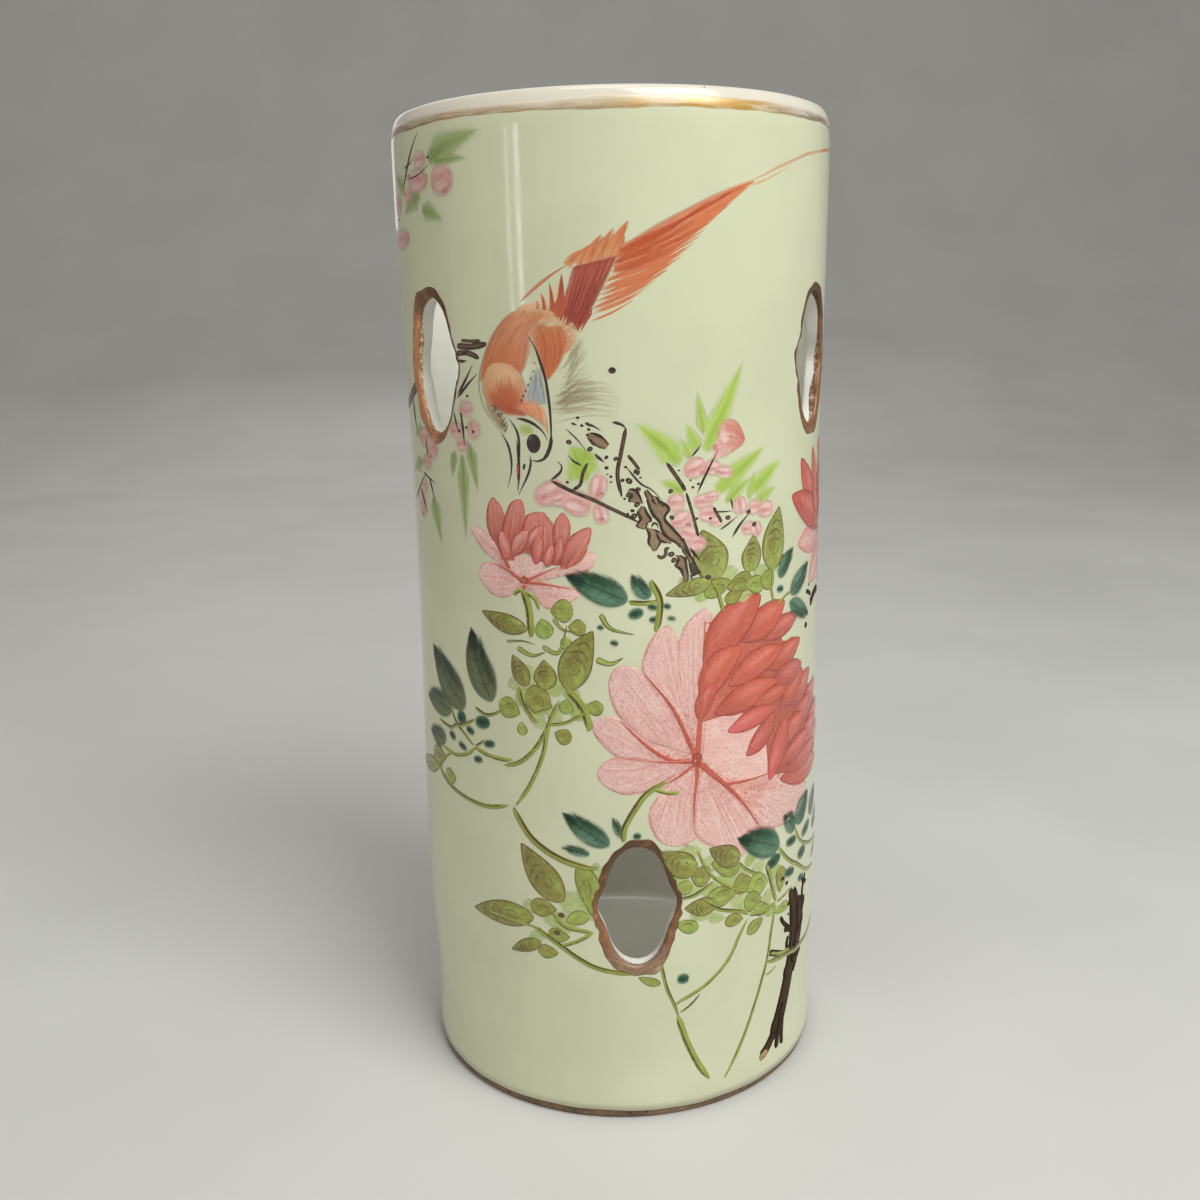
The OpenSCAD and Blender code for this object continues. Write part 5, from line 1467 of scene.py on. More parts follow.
def paint_bird_wing(art):
    """The dark red wing with its fringe, and the pointed feathers over it."""
    art.patch((-29, 231.6, -23, 235, -16, 239.6), (-26, 230.6, -20, 231, -16.4, 231.6), "#e2b284", None,
              1.4, (0.5, 0.35))
    for *ends, width in TOP_FEATHERS:
        root, tip = places(ends)
        art.blade((root, (root + tip) / 2 + (-0.3, 0.3), tip), width * 1.15, "#de9e6c", "taper",
                  tip_tint="orange", lift=0.015, soft=0.3, step=0.6)
        art.strands((root, root + (0.6, 0)), (tip, tip + (0.4, -0.8)), 4, 0.4, "#c26840", (0.25, 0.8))
    art.patch(*WING, "wing_red", None, 0.3)
    art.strands(*WING_FRINGE, 24, 0.9, "wing_red", (1, 0.85), lift=0.008, shape="taper")
    for *ends, width in SMALL_FEATHERS:
        root, tip = places(ends)
        art.blade((root, (root + tip) / 2 + (0.2, 0), tip), width * 1.3, "#be6244", "taper",
                  tip_tint="wing_red", lift=0.02, soft=0.25, step=0.6)
    art.strands((-14, 241.4, -8, 242.6, -3, 243.8), (-17, 231, -14.6, 228, -12, 228), 40, 0.3, "#c87058",
                (0.45, 0.1), spread=0.3)
    art.strands((-13.6, 240.6, -8, 241.8, -4, 242.6), (-16, 231, -13.6, 227.4, -12.4, 228), 22, 0.4,
                "#80302c", (0.3, 0.45), spread=0.3)
    art.fine(WING_LINE, 0.8, "#c86e46", (0.8, 1), 0.05)


def paint_bird_head(art):
    """Crown, cheek and throat, then the dark lines of the head, the beak and the eye."""
    art.patch(*THROAT, "#a4865e", "#8c7052", 1.0, (0.8, 0.8))
    art.patch(*CROWN_PATCH, "#e2b486", "#ce764e", 0.6)
    art.patch(*CROWN_HEART, "#d48458", "#be5432", 2.6, lift=0.015)
    art.patch((-40, 212, -38.6, 208, -35, 205.2, -31, 204.2, -27.6, 204),
              (-36, 210.4, -34, 208.4, -31, 207, -28, 206.2, -26, 205.4), "#c4643e", "#b04c2e", 1.4,
              (0.7, 1), 0.015)
    art.strands((-37, 217, -34, 217.6, -30.6, 216), (-38.4, 211, -34, 210.6, -29, 210), 26, 0.5, "#e8bc90",
                (0.6, 0), spread=0.8)
    art.patch(*CHEEK, "#d2d0b8", "slate", 0.6, (0.5, 1))
    art.strands((-25, 217, -23.6, 217), (-28, 208.4, -22, 208), 14, 0.4, "#78828c", (0.1, 0.5))
    art.patch(*LORE, "#e29266", "orange", 0.6)
    art.strands((-29, 209, -25, 209, -22.4, 206), (-25, 203.6, -23, 202, -22, 200), 14, 0.5, "#ecb084",
                (0.6, 0.1))
    art.strands((-39, 207, -36, 203.6, -34.4, 200), (-36.6, 207.6, -33.8, 204.6, -33.2, 202), 22, 0.4, "ink",
                (0.7, 0.15))
    art.spot((-28, 201), 5, 3.4, "#aabc60", turn=-10, soft=0.9, cover=(0.9, 0.9), lift=0.02)
    art.fine(BACK_LINE, 0.5, "#7c5236", (0.1, 0.9), vary=0)
    art.line(NAPE, 0.8, "ink", "hair")
    art.line(places(NAPE)[5:], 1.2, "ink", "hair", lift=0.02)
    art.line(BROW, 0.9, "ink", "hair")
    art.spot(EYE, 4.1, 5.0, "#3e322e", lift=0.04, dome=0.12)
    # A small grey spot on the eye is a painted highlight.
    art.spot((EYE[0] - 0.9, EYE[1] + 1.3), 0.7, 0.9, "#7e7268", lift=0.02, soft=0.3)
    for line in BEAK_LINES:
        art.line(line, 0.75, "ink", "hair")
    art.line(TONGUE, 0.8, "#be5442", "hair", lift=0.03)
    art.spot((-29, 191.4), 0.9, 1.8, "ink", turn=-15, lift=0.04)
    for k, dot in enumerate(places(CHEEK_DOTS)):
        art.spot(dot, 0.45 + 0.04 * k, 0.6 + 0.04 * k, "ink", lift=0.03)
    art.spot(INK_DROP, 1.9, 1.7, "ink", lift=0.05, dome=0.16)
    art.line((-5.8, 216.2, -5, 215.4, -4.6, 215), 0.7, "ink", "taper")


def paint_bird_tail(art):
    """The long tail: a body of orange under many fine strands, and the streamer at its end."""
    for roots, tips, count in TAIL_STRANDS:
        art.strands(roots, tips, count, 0.55, "#d67c52", (0.8, 0.95), -0.03, lift=0.012)
    art.patch(*TAIL, "#ce704a", "#d67c52", 0.7, (0.8, 1))
    for tint, count, cover in (("#e4966c", 30, (0.5, 0.3)), ("#bc5432", 40, (0.4, 0.5))):
        art.strands((-2.4, 246, -4.2, 240), (33, 261.8, 20, 256.4, 14, 252, 20, 252, 9, 243.6), count, 0.5,
                    tint, cover, -0.02)
    art.fine(STREAMER, 0.8, "#d6b080", (0.9, 0.8), 0.012, tip_tint="#c48468")
    end = [(s, z + 0.6 * (s - 60) / 20) for s, z in places(STREAMER)[5:]]
    art.fine(end, 0.7, "#be7e60", lift=0.012, shape="taper")
    art.fine(STREAMER_LOW, 0.5, "#dcb480", lift=0.012)


def blend_of(art, first, second, share):
    """A colour between two of the sidebar's."""
    return tuple(art.tone(first) * (1 - share) + art.tone(second) * share)


def outline(art, left, right, width, tint, cover=(1, 1)):
    """Thin lines along both edges of a stroke."""
    for edge in (left, right):
        art.fine(edge, width, tint, cover)


def paint_pale_petals(art, petals, heart, lines, tint="pink"):
    """Pale petals by their two edges, deeper towards the heart and streaked, then the pale middle and a shade
    along each line."""
    root = blend_of(art, "pink", "pink_deep", 0.25)
    for edges in petals:
        left, right = map(places, edges)
        art.between(left, right, root, tint, dome=0.16, vary=0.04, edge_tint="pink_deep", edge_share=0.08)
        count = max(4, round(np.abs(left[4] - right[4]).max()))
        for width, streak, cover in ((0.8, "pink_deep", (0.45, 0.05)), (0.6, "#f4d6cc", (0.05, 0.45))):
            art.strands((left[1], right[1]), (left[-3], left[-1], right[-1], right[-3]), count, width,
                        streak, cover, lift=0.012, spread=0.5)
        outline(art, left[2:], right[2:], 0.5, "pink_deep", (0.6, 0.35))
    art.between(*heart, blend_of(art, "pink", "pink_deep", 0.15), "#e8baae", soft=0.4, step=1.2)
    for *axis, width in lines:
        art.line(axis, 2 + width * 2, "pink_deep", "taper", soft=1.6, cover=(0.7, 0.25), lift=0.015)


CORAL_HUES = ("coral", "#d26048", "#d4625e", "#ca5652")
ROSE_HUES = ("#e08a82", "#d87c72", "#e4968c")


def paint_red_petals(art, rows, hues=CORAL_HUES, light="#ec9486"):
    """Pointed red petals in rows from the back to the front, light in the middle and dark at the edges."""
    dark = "#9c382a"
    for *axis, width in sum(rows, ()):
        root = blend_of(art, "coral_deep", "coral", art.rng.uniform(0.3, 0.7))
        tip = art.rng.choice(hues)
        art.blade(axis, width, root, "lens", tip_tint=tip, lift=0.05, dome=0.08, edge_tint=dark,
                  edge_share=0.16, vary=0.12, step=0.8)
        line = curve(axis, 17)
        side = left_of(line)
        side *= np.where(side[8] @ (0.3, 1) < 0, -1, 1)
        art.veil(line[2:15:3] + side[2:15:3] * width * 0.12, width * 0.56, tip, width * 0.24, (0.5, 0.7),
                 tip_tint=light)
        away = (side * width / 2 * SHAPES["lens"](np.linspace(0, 1, 17))[:, None])[1:17:3]
        art.line(line[1:17:3] - away, 0.9, dark, "hair", cover=(0.8, 0.7), lift=0.02, soft=0.25)
        art.line(line[1:17:3] + away, 0.6, dark, "hair", cover=(0.4, 0.5), lift=0.02, soft=0.2)


def paint_lines(art, lines, tint):
    """Lines that run thin from the heart of a flower outwards."""
    for *axis, width in lines:
        art.line(axis, width, tint, "taper", lift=0.04, dome=0.06)


def paint_large_petals(art):
    """The pale petals of the large peony, with a warm wash beside its heart."""
    art.between(*PEONY_BED, blend_of(art, "pink", "pink_deep", 0.4), "pink", step=2, lift=0.02)
    paint_pale_petals(art, PINK_PETALS, PALE_HEART, PEONY_LINES)
    for *axis, width in PEONY_WASH:
        art.veil(axis, width, "#d67a64", width * 0.4, (0.85, 0.35))


def paint_large_heart(art):
    """The red heart of the large peony and the lines that leave it."""
    art.between(*CORAL_BED, "#c86852", "coral_deep", step=2)
    paint_red_petals(art, CORAL_ROWS)
    paint_lines(art, PEONY_LINES, "#be5642")
    art.spot(PEONY_HUB, 3.6, 4.4, "coral_deep", lift=0.05, dome=0.05)


def paint_small_petals(art):
    """The pale petals of the small peony."""
    art.spot(SMALL_HUB, 10, 7, blend_of(art, "pink", "pink_deep", 0.4), soft=0.6)
    paint_pale_petals(art, SMALL_PINK, SMALL_HEART, SMALL_LINES, "#f0beb2")


def paint_small_heart(art):
    """The red heart of the small peony: streaked outer petals, then the inner ones."""
    dark = "#a03e32"
    art.between(*SMALL_BED, "#bc5848", step=1.5)
    for edges in SMALL_RED:
        left, right = map(places, edges)
        art.between(left, right, "#c46050", "#de8a7e", lift=0.05, edge_tint="coral_deep",
                    edge_share=0.16)
        for tint, cover in (("#eeaca0", (0.1, 0.75)), (dark, (0.6, 0.15))):
            art.strands((left[0], right[0]), (left[-2], right[-2]), 5, 0.5, tint, cover, lift=0.012,
                        spread=0.4)
        outline(art, left, right, 0.5, dark, (0.7, 0.4))
    paint_red_petals(art, (SMALL_INNER,), ROSE_HUES, "#f2beb4")
    paint_lines(art, SMALL_LINES, "#be5642")
    art.spot(SMALL_HUB, 2.8, 2.2, "coral_deep", lift=0.05)


def paint_side_peony(art):
    """The peony that goes on round the right flank: pale petals under red ones."""
    art.spot(SIDE_HUB, 20, 12, blend_of(art, "pink", "pink_deep", 0.4), soft=0.8, lift=0.02)
    for *axis, width in SIDE_PINK:
        art.blade(axis, width, "pink_deep", "lens", tip_tint="pink", dome=0.12, edge_tint="pink_deep",
                  edge_share=0.2)
        art.veil(axis, width * 0.6, "pink", width * 0.24, (0.2, 0.8), tip_tint="#eecec6")
    art.spot((SIDE_HUB[0], SIDE_HUB[1] + 4), 17, 10, "coral_deep", soft=0.5)
    paint_red_petals(art, SIDE_ROWS)
    paint_lines(art, SIDE_LINES, "coral_deep")


def leaf_axis(art, root, tip, width):
    """A leaf's bent middle line, its whole run and the way to its left."""
    ahead = tip - root
    side = np.array([-ahead[1], ahead[0]]) / np.linalg.norm(ahead)
    middle = (root + tip) / 2 + side * width * art.rng.uniform(-0.12, 0.12)
    return curve([root, middle, tip], FINE_STEPS + 1), ahead, side


def paint_leaf(art, root, tip, width, tint):
    """A raised leaf with an inked edge, fresh green beside a brown middle, arcs to its tip and loops."""
    axis, ahead, side = leaf_axis(art, root, tip, width)
    art.blade(axis[::4], width, tint, dome=0.18, lift=0.04, edge_tint="leaf_ink", edge_share=0.12,
              tip_tint=blend_of(art, tint, "leaf_ink", 0.35))
    art.veil(axis[3:24:3] - side * width * 0.2, width * 0.42, "leaf_light", width * 0.16, (0.9, 0.5), 0.02)
    art.veil(axis[8:30:3] + side * width * 0.08, width * 0.5, "#766832", width * 0.2, (0.55, 0.35))
    bow = ahead * min(0.08, 1.2 / np.linalg.norm(ahead))
    for share in (0.6, 0.76):
        half = width / 2 * float(SHAPES["leaf"](share)) * 0.8
        middle = axis[round(share * FINE_STEPS)]
        art.fine([middle + side * half - bow, middle + bow * 0.6, middle - side * half - bow], 0.6,
                 "leaf_ink", (0.8, 0.5))
    for share, start in ((0.66, 0.2), (0.36, 2.4)):
        ring = [axis[14] + side * width / 2 * share * math.cos(a) + ahead * 0.24 * share * math.sin(a)
                for a in np.linspace(start, start + 3, 9)]
        art.fine(ring, 0.5, "leaf_ink", (0.7, 0.3))


def paint_green_leaves(art):
    """Olive leaves, buds and tendrils, with thin green fill between them."""
    for x, z, width, height in LEAF_FILL:
        fresh = blend_of(art, "leaf_light", "ground", art.rng.uniform(0, 0.3))
        middle = np.array((x, z))
        reach = towards(art.rng.uniform(-0.9, 0.9)) * width * 0.85
        art.blade((middle - reach, middle, middle + reach), height * 1.7, fresh, soft=0.7, cover=(0.9, 0.75),
                  lift=0.02)
    for number, (x, z, width, height) in enumerate(LEAF_DABS):
        middle = np.array((x, z))
        tint = ("leaf_light", "#94a046", "leaf")[number % 3]
        turn = art.rng.uniform(-25, 25)
        art.spot(middle, width * 1.2, height * 1.2, "leaf_light", turn=turn, soft=0.7, cover=(0.85, 0.85),
                 lift=0.02)
        heading = math.radians(turn + (0 if width >= height else 90) + art.rng.choice((0, 180)))
        reach = towards(heading) * max(width, height) * 0.66
        bend = np.array([-reach[1], reach[0]]) * art.rng.uniform(-0.2, 0.2)
        art.blade((middle - reach, middle + bend, middle + reach), min(width, height) * 1.35, tint, dome=0.12,
                  edge_tint="leaf_ink", edge_share=0.14, step=0.7)
        art.spot((x + width * 0.06, z + height * 0.12), width * 0.6, height * 0.5, "#746232", turn=turn,
                 soft=0.7, cover=(0.4, 0.15), lift=0.015)
        art.spot((x - width * 0.1, z - height * 0.22), width * 0.5, height * 0.3, "#a6b854", turn=turn,
                 soft=0.4, cover=(0.7, 0.5), lift=0.015)
        if max(width, height) > 5.4:
            ring = [(x + width * 0.28 * math.cos(a), z + height * 0.28 * math.sin(a))
                    for a in np.linspace(-0.6, 3.6, 8)]
            art.fine(ring, 0.45, "leaf_ink", (0.6, 0.3))
    for number, (*ends, width) in enumerate(OLIVE_LEAVES):
        tip, root = places(ends)
        tint = ("leaf", "#8e8a3e", "#9a9e46")[number % 3]
        paint_leaf(art, root, tip, width, "#9ca452" if root[1] > 155 else tint)
    for spot in places(LEAF_SPOTS):
        art.spot(spot, 2.2, 2.0, "#604228", dome=0.12, lift=0.04, soft=0.3)
    for *axis, width in TENDRILS:
        art.blade(axis, width, "leaf_light", "taper", dome=0.12, edge_tint="leaf_ink", edge_share=0.3)


def paint_teal_leaves(art):
    """Blue-green leaves, dark along one side and at the tip, with blurred veins, and their berries."""
    dark = "#1a2c22"
    for *ends, width in TEAL_LEAVES:
        tip, root = places(ends)
        axis, ahead, side = leaf_axis(art, root, tip, width)
        body, pale, deep = "#42705a", "#749a80", "teal"
        if root[0] < -25:
            body, pale, deep = "#646e4e", "#74825c", "#404c34"
        art.blade(axis[::4], width, body, tip_tint=deep, soft=min(0.6, width * 0.1), cover=(0.9, 1),
                  lift=0.05)
        art.veil(axis[5:30:4] + side * width * 0.2, width * 0.4, pale, width * 0.15, (0.75, 0.3))
        art.veil(axis[4:40:4] - side * width * 0.26, width * 0.4, deep, width * 0.14, (0.6, 0.9),
                 tip_tint=dark)
        art.fine(axis[2:40:4], 0.7, dark, (0.3, 0.6), shape="taper")
        for share in np.arange(0.22, 0.85, 0.16):
            half = width / 2 * float(SHAPES["leaf"](share)) * 0.85
            middle = axis[round(share * FINE_STEPS)]
            for way in (-1, 1):
                far = middle + side * way * half + ahead * min(0.16, 2.4 / np.linalg.norm(ahead))
                art.fine([middle, (middle + far) / 2, far], 0.6, dark, (0.3, 0.05), 0.012, "taper")
        art.veil(axis[26::3], width * 0.5, dark, 0.5, (0.3, 0.9))
    for x, z, width, height in TEAL_DABS:
        art.spot((x, z), width * 1.1, height * 1.1, "#547c66", turn=art.rng.uniform(-20, 20), soft=0.8,
                 tip_tint="teal")
        art.spot((x - width * 0.1, z), width * 0.6, height * 0.6, dark, soft=0.6, cover=(0.6, 0.7),
                 lift=0.012)


def paint_wash_leaves(art):
    """Thin bamboo-like leaves in a clear green wash."""
    for *ends, width in WASH_LEAVES:
        root, tip = places(ends)
        axis = root, (root + tip) / 2 + (0, 0.4), tip
        fresh, strong = "wash", "#a0bc46"
        if root[0] < -40:
            fresh, strong = "#9eb06e", "#80984e"
        art.blade(axis, width * 1.55, fresh, "wash", soft=width * 0.3, cover=(0.85, 0.95), lift=0.02)
        art.blade(axis, width * 0.8, strong, "taper", soft=width * 0.22, cover=(0.7, 0.6), lift=0.012)


def paint_blossoms(art):
    """Small blossoms in soft loose petals, deep at the root and pale along the sides, and the raised bud."""
    deep, pale = "#c66e70", "#f6ded6"
    for x, z, width, height, turn in BLOSSOMS:
        faint = 0.55 if x < -40 else 1.0
        under = "#c28882" if x < -40 else blend_of(art, "blossom", "pink_deep", 0.2)
        heart = np.array((x, z))
        art.spot(heart, width * 1.45 - 0.3 * width * faint, height * 1.1, under, turn=turn, soft=0.8 / faint,
                 cover=(0.9, 0.9), lift=0.02)
        long, wide = max(width, height), min(width, height)
        angle = math.radians(turn + (0 if width >= height else 90)) + art.rng.choice((0, math.pi))
        ahead = towards(angle)
        side = np.array([-ahead[1], ahead[0]])
        root = heart - ahead * long * 0.52
        tip = heart + ahead * long * 0.52
        middle = heart + side * art.rng.uniform(-0.08, 0.08) * long
        art.blade([root, middle, tip], wide * 1.15, blend_of(art, "blossom", "pink_deep", 0.4), "petal",
                  tip_tint="blossom", soft=0.5 / faint, cover=(0.95 * faint, 0.95 * faint), step=0.6)
        for share, broad, tint, cover in ((0.22, 0.5, pale, (0.2, 0.8)), (-0.26, 0.36, pale, (0.1, 0.6)),
                                          (-0.04, 0.34, deep, (0.7, 0.1)), (0.4, 0.2, deep, (0.2, 0.5))):
            slip = side * wide * share
            axis = [root + ahead * long * 0.1 + slip * 0.5, middle + slip, tip - ahead * long * 0.1
                    + slip * 0.8]
            art.veil(axis, wide * broad, tint, wide * broad * 0.3, (cover[0] * faint, cover[1] * faint),
                     0.012, step=0.6)
    art.between(*BUD, "#e8beb4", "#ca6848", dome=0.1, soft=0.25, step=0.7)
    art.spot((27.6, 200), 5, 2.6, "#d68676", turn=-30, soft=1.0, cover=(0.7, 0.7), lift=0.015)
    art.spot((25.4, 198), 3.4, 4.4, "#f0d4ca", turn=20, soft=1.3, cover=(0.8, 0.8), lift=0.015)
    art.fine((24, 197.6, 26.6, 198.8, 29.6, 197.8, 30.6, 196.6), 0.5, "#f0ccc0", (0.7, 0.4), 0.05)
    art.fine(places(BUD[0])[1:], 0.6, "#d6847a", (0.4, 0.8), 0.05)
    art.spot((22.9, 195.4), 2.0, 2.4, "#cc746c", turn=30, soft=0.5, cover=(0.9, 0.9), lift=0.02)
    for heart in places(BLOSSOM_HEARTS):
        art.spot(heart, 2.4, 1.8, "#b05654", soft=0.6, cover=(0.7, 0.7), lift=0.012)


def paint_twigs(art):
    """Dark stamens, twigs and dots among the blossoms."""
    for *axis, width in BLOSSOM_TWIGS:
        art.line(axis, width, "ink", "hair")
    for dot in places(TWIG_DOTS):
        art.spot(dot, 1.0, 0.8, "ink", lift=0.05, dome=0.08)


def paint_old_branch(art):
    """The old branch under the bird and its end by the left opening: brown patches with inked edges."""
    for left, right in BARK_PATCHES:
        art.between(left, right, "bark", lift=0.04, step=0.5, dome=0.05, edge_tint="ink", edge_share=0.35,
                    vary=0.12)
        outline(art, left, right, 0.75, "ink")
    art.between(*BARK_FOOT, "#544434", "ink", lift=0.05, step=0.5)
    for *axis, width in BRANCH_STROKES + LEFT_BRANCH:
        if width > 0.9:
            art.line(axis, width, "ink", lift=0.04, dome=0.05, step=0.8)
            art.fine(axis, width * 0.5, "#745c42", (0.9, 0.7), 0.015, step=0.8)
        else:
            art.line(axis, width, "ink", "hair", step=0.8)
    for x, z, *size in BRANCH_DOTS:
        wide = size[0] if size else 0.8
        art.spot((x, z), wide * 1.2, wide, "ink", turn=art.rng.uniform(-40, 40), lift=0.05, dome=0.06)
        if wide > 1:
            art.spot((x, z), wide * 0.5, wide * 0.45, "bark", lift=0.015, soft=0.1)


def paint_trunk(art):
    """The dark trunk at the lower right, streaked along its length, and its roots."""
    for *axis, width in TRUNK_STROKES:
        art.blade(axis, width, "trunk", "line", lift=0.05, dome=0.16, edge_tint="#1c140c", edge_share=0.4)
        if width > 2.8:
            for away in (-0.24, 0.02, 0.2):
                art.fine(curve(axis, 9) + [width * away, 0.5], 0.6, "#624a2c", (0.6, 0.4))
    for x, z, size in TRUNK_DOTS:
        art.spot((x, z), size, size * 0.9, "ink", lift=0.05, dome=0.1)
    art.line(TRUNK_TIP, 2.4, "#b09266", lift=0.04)


def paint_stems(art):
    """Vine stems: a fresh green stroke, darker along its run, with a dark line along one side."""
    for *axis, width in STEMS:
        line = curve(axis, 2 * len(axis) + 1)
        fresh = blend_of(art, "leaf_light", "leaf", art.rng.uniform(0, 0.5))
        art.line(line, width * 1.25, fresh, tip_tint=blend_of(art, "leaf_light", "leaf", 0.6), dome=0.1,
                 edge_tint="leaf", edge_share=0.3)
        away = art.rng.choice((-0.32, 0.32)) * width
        art.line(line + left_of(line) * away, max(0.55, width * 0.55), "leaf_ink", "hair", lift=0.03, dome=0)


class StandStep:
    """What the operators share."""
    bl_options = {"REGISTER"}

    def execute(self, context):
        self.make(Wall(context.scene.hat_stand_sizes), context.scene.hat_stand_colours)
        return {"FINISHED"}

    def paint(self, wall, colours, *rows):
        """Paints enamel pieces, each by its name, seed, painter, material, slot and CAD node."""
        for name, seed, painter, material, slot, node in rows:
            art = Painting(wall, colours, name + "_enamel", seed)
            painter(art)
            art.finish(material, slot, node)


class HATSTAND_OT_clay(StandStep, bpy.types.Operator):
    """Gives the clay solids that stay in sight their fired surfaces"""
    bl_idname = "hat_stand.clay"
    bl_label = "Fire the clay"

    def make(self, wall, colours):
        biscuit = biscuit_finish(colours)
        clay = clay_finish(colours)
        for node in ("foot_ring", "base_slab", "base_lute", "lower_wall", "wall_lute", "upper_wall"):
            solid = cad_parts[node]
            solid.data.materials.clear()
            solid.data.materials.append(biscuit if node == "foot_ring" else clay)


class HATSTAND_OT_ground(StandStep, bpy.types.Operator):
    """Lays the pale green glaze on the outside"""
    bl_idname = "hat_stand.ground"
    bl_label = "Glaze the outside"

    def make(self, wall, colours):
        dress(green_ground(wall), ground_finish(colours), "green_ground", "green_ground")


class HATSTAND_OT_lining(StandStep, bpy.types.Operator):
    """Lays the white glaze on the lip, the inside and the cut faces"""
    bl_idname = "hat_stand.lining"
    bl_label = "Glaze the inside"

    def make(self, wall, colours):
        dress(white_lining(wall), white_finish(colours), "white_glaze", "white_glaze")


class HATSTAND_OT_gilding(StandStep, bpy.types.Operator):
    """Gilds the six openings and the lip"""
    bl_idname = "hat_stand.gilding"
    bl_label = "Gild the openings and lip"

    def make(self, wall, colours):
        copper = copper_finish(colours)
        for number, opening in enumerate(OPENINGS):
            dress(gilt_border(wall, opening, 31 + number), copper, "border_gilding", opening[0] + "_border")
        dress(gilt_lip(wall, colours), lip_finish(colours), "lip_gold", "lip_gilding")


class HATSTAND_OT_bird(StandStep, bpy.types.Operator):
    """Paints the bird: body, wing, head and tail"""
    bl_idname = "hat_stand.bird"
    bl_label = "Paint the bird"

    def make(self, wall, colours):
        feather = enamel(colours, "bird_feather_enamel", (0.22, 3.2), 0.14, rough=0.2, grain=0.12,
                         relief=0.05)
        self.paint(wall, colours,
                   ("bird_body", 21, paint_bird_body, feather, "bird_enamel", "bird_body"),
                   ("bird_wing", 22, paint_bird_wing, feather, "wing_enamel", "bird_wing"),
                   ("bird_head", 23, paint_bird_head, feather, "head_enamel", "bird_head"),
                   ("bird_tail", 24, paint_bird_tail, feather, "tail_enamel", "bird_tail"))


class HATSTAND_OT_peonies(StandStep, bpy.types.Operator):
    """Paints the three peonies"""
    bl_idname = "hat_stand.peonies"
    bl_label = "Paint the peonies"

    def make(self, wall, colours):
        pale = enamel(colours, "rose_petal_enamel", (0.16, 1.5), 0.1, fleck=0.55, fleck_size=1.3)
        red = enamel(colours, "coral_petal_enamel", (0.2, 1.8), 0.14, fleck=0.16, fleck_size=1.6,
                     light=PETAL_LIGHT)
        self.paint(wall, colours,
                   ("large_peony_petal", 41, paint_large_petals, pale, "pink_enamel", "large_peony_petals"),
                   ("large_peony_heart", 42, paint_large_heart, red, "coral_enamel", "large_peony_heart"),
                   ("small_peony_petal", 43, paint_small_petals, pale, "pink_enamel", "small_peony_petals"),
                   ("small_peony_heart", 44, paint_small_heart, red, "coral_enamel", "small_peony_heart"),
                   ("side_peony", 45, paint_side_peony, red, "coral_enamel", "side_peony_petals"))


class HATSTAND_OT_leaves(StandStep, bpy.types.Operator):
    """Paints the olive, blue-green and wash leaves"""
    bl_idname = "hat_stand.leaves"
    bl_label = "Paint the leaves"

    def make(self, wall, colours):
        olive = enamel(colours, "olive_leaf_enamel", (0.35, 1.2), 0.18, rim=tuple(colours.leaf_ink),
                       rim_width=0.35, mottle=0.25, relief=0.16)
        teal = enamel(colours, "blue_green_leaf_enamel", (0.3, 1.4), 0.2, relief=0.06, shine=0.15)
        wash = enamel(colours, "green_wash_enamel", (0.12, 0.9), 0.12, relief=0.03)
        self.paint(wall, colours,
                   ("green_leaves", 51, paint_green_leaves, olive, "green_enamel", "green_leaves"),
                   ("teal_leaves", 52, paint_teal_leaves, teal, "teal_enamel", "teal_leaves"),
                   ("bamboo_leaves", 53, paint_wash_leaves, wash, "pale_green_enamel", "bamboo_leaves"))


class HATSTAND_OT_blossoms(StandStep, bpy.types.Operator):
    """Paints the small blossoms and their twigs"""
    bl_idname = "hat_stand.blossoms"
    bl_label = "Paint the blossoms"

    def make(self, wall, colours):
        petal = enamel(colours, "blossom_enamel", (0.4, 0.8), 0.1, fleck=0.25, relief=0.1)
        twig = enamel(colours, "twig_enamel", (0.4, 1.6), 0.25, relief=0.1)
        self.paint(wall, colours,
                   ("blossom_petals", 61, paint_blossoms, petal, "blossom_enamel", "blossom_petals"),
                   ("blossom_twigs", 62, paint_twigs, twig, "brown_enamel", "blossom_twigs"))


class HATSTAND_OT_branches(StandStep, bpy.types.Operator):
    """Paints the old branch, the trunk and the vine stems"""
    bl_idname = "hat_stand.branches"
    bl_label = "Paint branches and stems"

    def make(self, wall, colours):
        bark = enamel(colours, "bark_enamel", (0.4, 1.8), 0.25, rim=tuple(colours.ink), rim_width=0.3,
                      relief=0.2)
        wood = enamel(colours, "trunk_enamel", (0.2, 1.4), 0.25, rough=0.45, relief=0.2, shine=0.08)
        stem = enamel(colours, "stem_enamel", (0.25, 1.2), 0.18, relief=0.12)
        self.paint(wall, colours,
                   ("old_branch", 71, paint_old_branch, bark, "brown_enamel", "old_branch"),
                   ("trunk", 72, paint_trunk, wood, "brown_enamel", "trunk"),
                   ("vine_stems", 73, paint_stems, stem, "stem_enamel", "vine_stems"))
        Blanks.clear()
        Painting.canvas = None


def lamp(name, turn, distance, height, width, tall, watts, target=0.14, tint=(1, 1, 1)):
    """A soft lamp at some degrees round from the front, aimed at the stand."""
    light = bpy.data.lights.new(name, "AREA")
    light.color = tint
    light.shape = "RECTANGLE"
    light.size = width
    light.size_y = tall
    light.energy = watts
    holder = bpy.data.objects.new(name, light)
    turn = math.radians(turn)
    place = Vector((distance * math.sin(turn), -distance * math.cos(turn), height))
    away = place - Vector((0, 0, target))
    holder.matrix_world = Matrix.Translation(place) @ away.to_track_quat("Z", "Y").to_matrix().to_4x4()
    bpy.context.collection.objects.link(holder)


